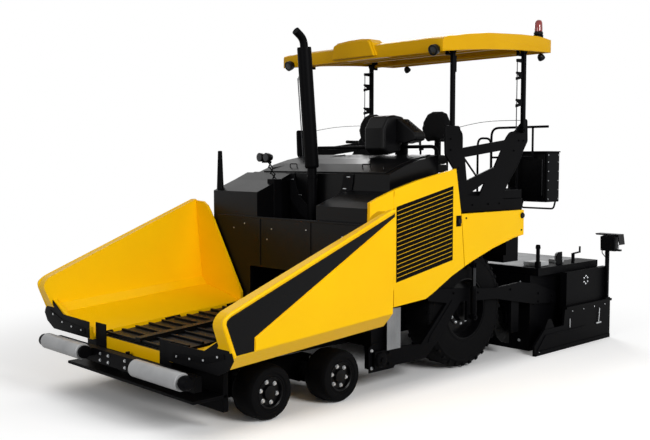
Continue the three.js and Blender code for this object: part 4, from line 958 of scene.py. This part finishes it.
def end_plate_fittings():
    """Bolts, wear strips and the lifting hook of the left end plate."""
    made = [bolts([(1.381, 1.75 + i * 0.21, 0.035) for i in range(9)], X, 0.008), bolts([(1.381, 2.5 + i * 0.27, 0.46)
            for i in range(4)], X, 0.006), side_prism([(1.66, 0.0), (1.66, 0.02), (1.8, 0.05), (3.44, 0.05),
            (3.44, 0.0)], 1.38, 0.012, BLACK, 0.003)]
    made += [tube([(1.392, 3.155, 0.43), (1.394, 3.145, 0.34), (1.392, 3.135, 0.25)], 0.006, ZINC, 0),
             rod((1.383, 2.44, 0.26), (1.383, 2.44, 0.37), 0.006, ZINC, 0),
             block((1.38, 3.08, 0.225), (1.398, 3.2, 0.245), ZINC, 0.003, 1),
             side_prism([(1.7, 0.06), (1.88, 0.235), (2.82, 0.235), (2.82, 0.215), (1.9, 0.215), (1.72, 0.05)],
                        1.38, 0.01, BLACK, 0.002, 1),
             side_prism([(1.87, 0.3), (1.95, 0.42), (2.02, 0.42), (2.1, 0.3)], 1.355, 0.02, BLACK, 0.004)]
    return joined(made)


both_sides(end_plate_fittings(), "end_plate_fittings", "extension_{side}")


def station():
    """A post with a shaded display box, leads and a small stick."""
    y = 3.355
    post = block((1.355, y - 0.024, 0.545), (1.4, y + 0.024, 1.18), BLACK, 0.008)
    foot = block((1.352, y - 0.06, 0.531), (1.4, y + 0.06, 0.549), BLACK, 0.003)
    box = side_prism([(y - 0.035, 1.175), (y - 0.045, 1.37), (y + 0.06, 1.38), (y + 0.045, 1.175)], 1.29, 0.22,
                     PLASTIC, 0.012, 3)
    hood = front_prism([(1.22, 1.405), (1.56, 1.405), (1.58, 1.27), (1.57, 1.265),
                  (1.545, 1.385), (1.235, 1.385)], y - 0.05, 0.14, PLASTIC, 0.002, 1)
    screen = block((1.3, y + 0.056, 1.2), (1.49, y + 0.062, 1.35), SCREEN, 0.001, 1)
    leads = [tube([(1.32 + i * 0.05, y - 0.03, 1.19), (1.33 + i * 0.05, y - 0.06, 1.15),
                   (1.38, y - 0.03, 1.08 - i * 0.03), (1.385, y - 0.028, 1.0 - i * 0.03)], 0.006, FLAP, 0.03)
                   for i in range(3)]
    stick = joined([rod((1.54, y, 1.2), (1.54, y, 1.27), 0.006, ZINC),
                    block((1.5, y - 0.02, 1.18), (1.57, y + 0.03, 1.205), PLASTIC, 0.004)])
    return joined([post, foot, box, hood, screen, stick] + leads)


both_sides(station(), "screed_control_box", "extension_{side}", "control_station_{side}")
ext_bolts = bolts([(0.2 + i * 0.22, 3.301, z) for i in range(5) for z in (0.08, 0.36)], Y, 0.013)
step_plate = block((0.05, 3.02, 0.5), (1.24, 3.2, 0.505), TREAD_PLATE, 0.001, 1)
ring = bolts(ring_places((1.351, 2.856, 0.83), 0.05, 6), X, 0.01)
both_sides(joined([ext_bolts, step_plate, ring]), "extension_fittings", "extension_{side}")


# ---- floor, light and camera
def pale_floor():
    """A pale floor that takes the shadow near the machine, glows for the camera outside the machine's footprint so
    that a painted shadow stays under it, and fades into the white beyond it.
    """
    bpy.ops.mesh.primitive_plane_add(size=160, location=(0, 0, -0.002))
    floor = bpy.context.object
    floor.name = "studio_floor"
    material = bpy.data.materials.new("matt_studio_floor")
    material.use_nodes = True
    tree = material.node_tree
    tree.nodes.clear()
    place = add(tree, "TexCoord").outputs["Object"]
    away = add(tree, "VectorMath", {"operation": "LENGTH"}, {0: place})
    far = add(tree, "MapRange", {"interpolation_type": "SMOOTHSTEP"},
              {"Value": away.outputs["Value"], "From Min": 3.4, "From Max": 6.5})
    seen = add(tree, "LightPath")
    direct = sum_of(tree, "MAXIMUM", seen.outputs["Is Camera Ray"], seen.outputs["Is Glossy Ray"])
    share = sum_of(tree, "MULTIPLY", far.outputs[0], direct)
    near = sum_of(tree, "MAXIMUM", direct, seen.outputs["Is Transmission Ray"])
    shade = add(tree, "Mix", {"data_type": "RGBA"},
                {0: near, 6: linear("#B4B4B4"), 7: linear("#FAFAFA")})
    matt = add(tree, "BsdfDiffuse", None, {"Color": shade.outputs[2]})
    # How far a place lies outside the rectangle under the machine.
    past = sum_of(tree, "ABSOLUTE", place, kind="VectorMath")
    past = sum_of(tree, "SUBTRACT", past, (1.0, 3.0, 0.0), kind="VectorMath")
    past = sum_of(tree, "MAXIMUM", past, (0.0, 0.0, 0.0), kind="VectorMath")
    past = add(tree, "VectorMath", {"operation": "LENGTH"}, {0: past})
    # Painted light: for the camera the floor glows outside the machine's footprint and not under it, which leaves a
    # painted shadow there.
    glow_outside_footprint = add(tree, "MapRange", {"interpolation_type": "SMOOTHSTEP"},
                     {"Value": past.outputs["Value"], "From Min": 0.05, "From Max": 0.6, "To Max": 0.3})
    lift = sum_of(tree, "MULTIPLY", seen.outputs["Is Camera Ray"], glow_outside_footprint.outputs[0])
    painted_floor_glow = add(tree, "Emission", None, {"Color": (1, 1, 1, 1), "Strength": lift})
    ground = add(tree, "AddShader", None, {0: matt.outputs[0], 1: painted_floor_glow.outputs[0]})
    white = add(tree, "Emission", None, {"Color": (1, 1, 1, 1), "Strength": 1.0})
    mixed = add(tree, "MixShader", None, {0: share, 1: ground.outputs[0], 2: white.outputs[0]})
    add(tree, "OutputMaterial", None, {"Surface": mixed.outputs[0]})
    floor.data.materials.append(material)


pale_floor()
world = bpy.data.worlds.new("studio")
bpy.context.scene.world = world
world.use_nodes = True
sky = world.node_tree
sky.nodes.clear()
ray = add(sky, "LightPath")
# The white all round is seen at full strength, but lights matt faces at a third of it.
shown = sum_of(sky, "MAXIMUM", ray.outputs["Is Camera Ray"], ray.outputs["Is Transmission Ray"])
shown = sum_of(sky, "MAXIMUM", shown, ray.outputs["Is Glossy Ray"])
level = add(sky, "MapRange", None, {"Value": shown, "To Min": 0.32, "To Max": 1.0})
glow = add(sky, "Background", None, {"Color": (1, 1, 1, 1), "Strength": level.outputs[0]})
add(sky, "OutputWorld", None, {"Surface": glow.outputs[0]})


def softbox(name, place, aim, size, power):
    """A square soft lamp looking at a point."""
    bpy.ops.object.light_add(type="AREA", location=place)
    lamp = bpy.context.object
    lamp.name = name
    lamp.data.shape = "SQUARE"
    lamp.data.size = size
    lamp.data.energy = power
    lamp.rotation_euler = (Vector(aim) - Vector(place)).to_track_quat("-Z", "Y").to_euler()


softbox("key_softbox", (11.0, -1.5, 6.0), (0, 0, 1.0), 4.0, 890)
softbox("front_softbox", (2.0, -11.0, 5.0), (0, 0, 1.0), 4.0, 260)
softbox("rear_softbox", (-6.0, 8.0, 7.0), (0, 0, 1.5), 4.0, 300)

bpy.ops.object.camera_add(location=(7.444, -7.665, 2.405), rotation=(math.radians(86.1), 0, math.radians(46.314)))
camera = bpy.context.object
camera.name = "view_camera"
camera.data.lens = 49.89
camera.data.sensor_width = 36.0
camera.data.dof.use_dof = False
scene = bpy.context.scene
scene.camera = camera
scene.view_settings.view_transform = "Standard"
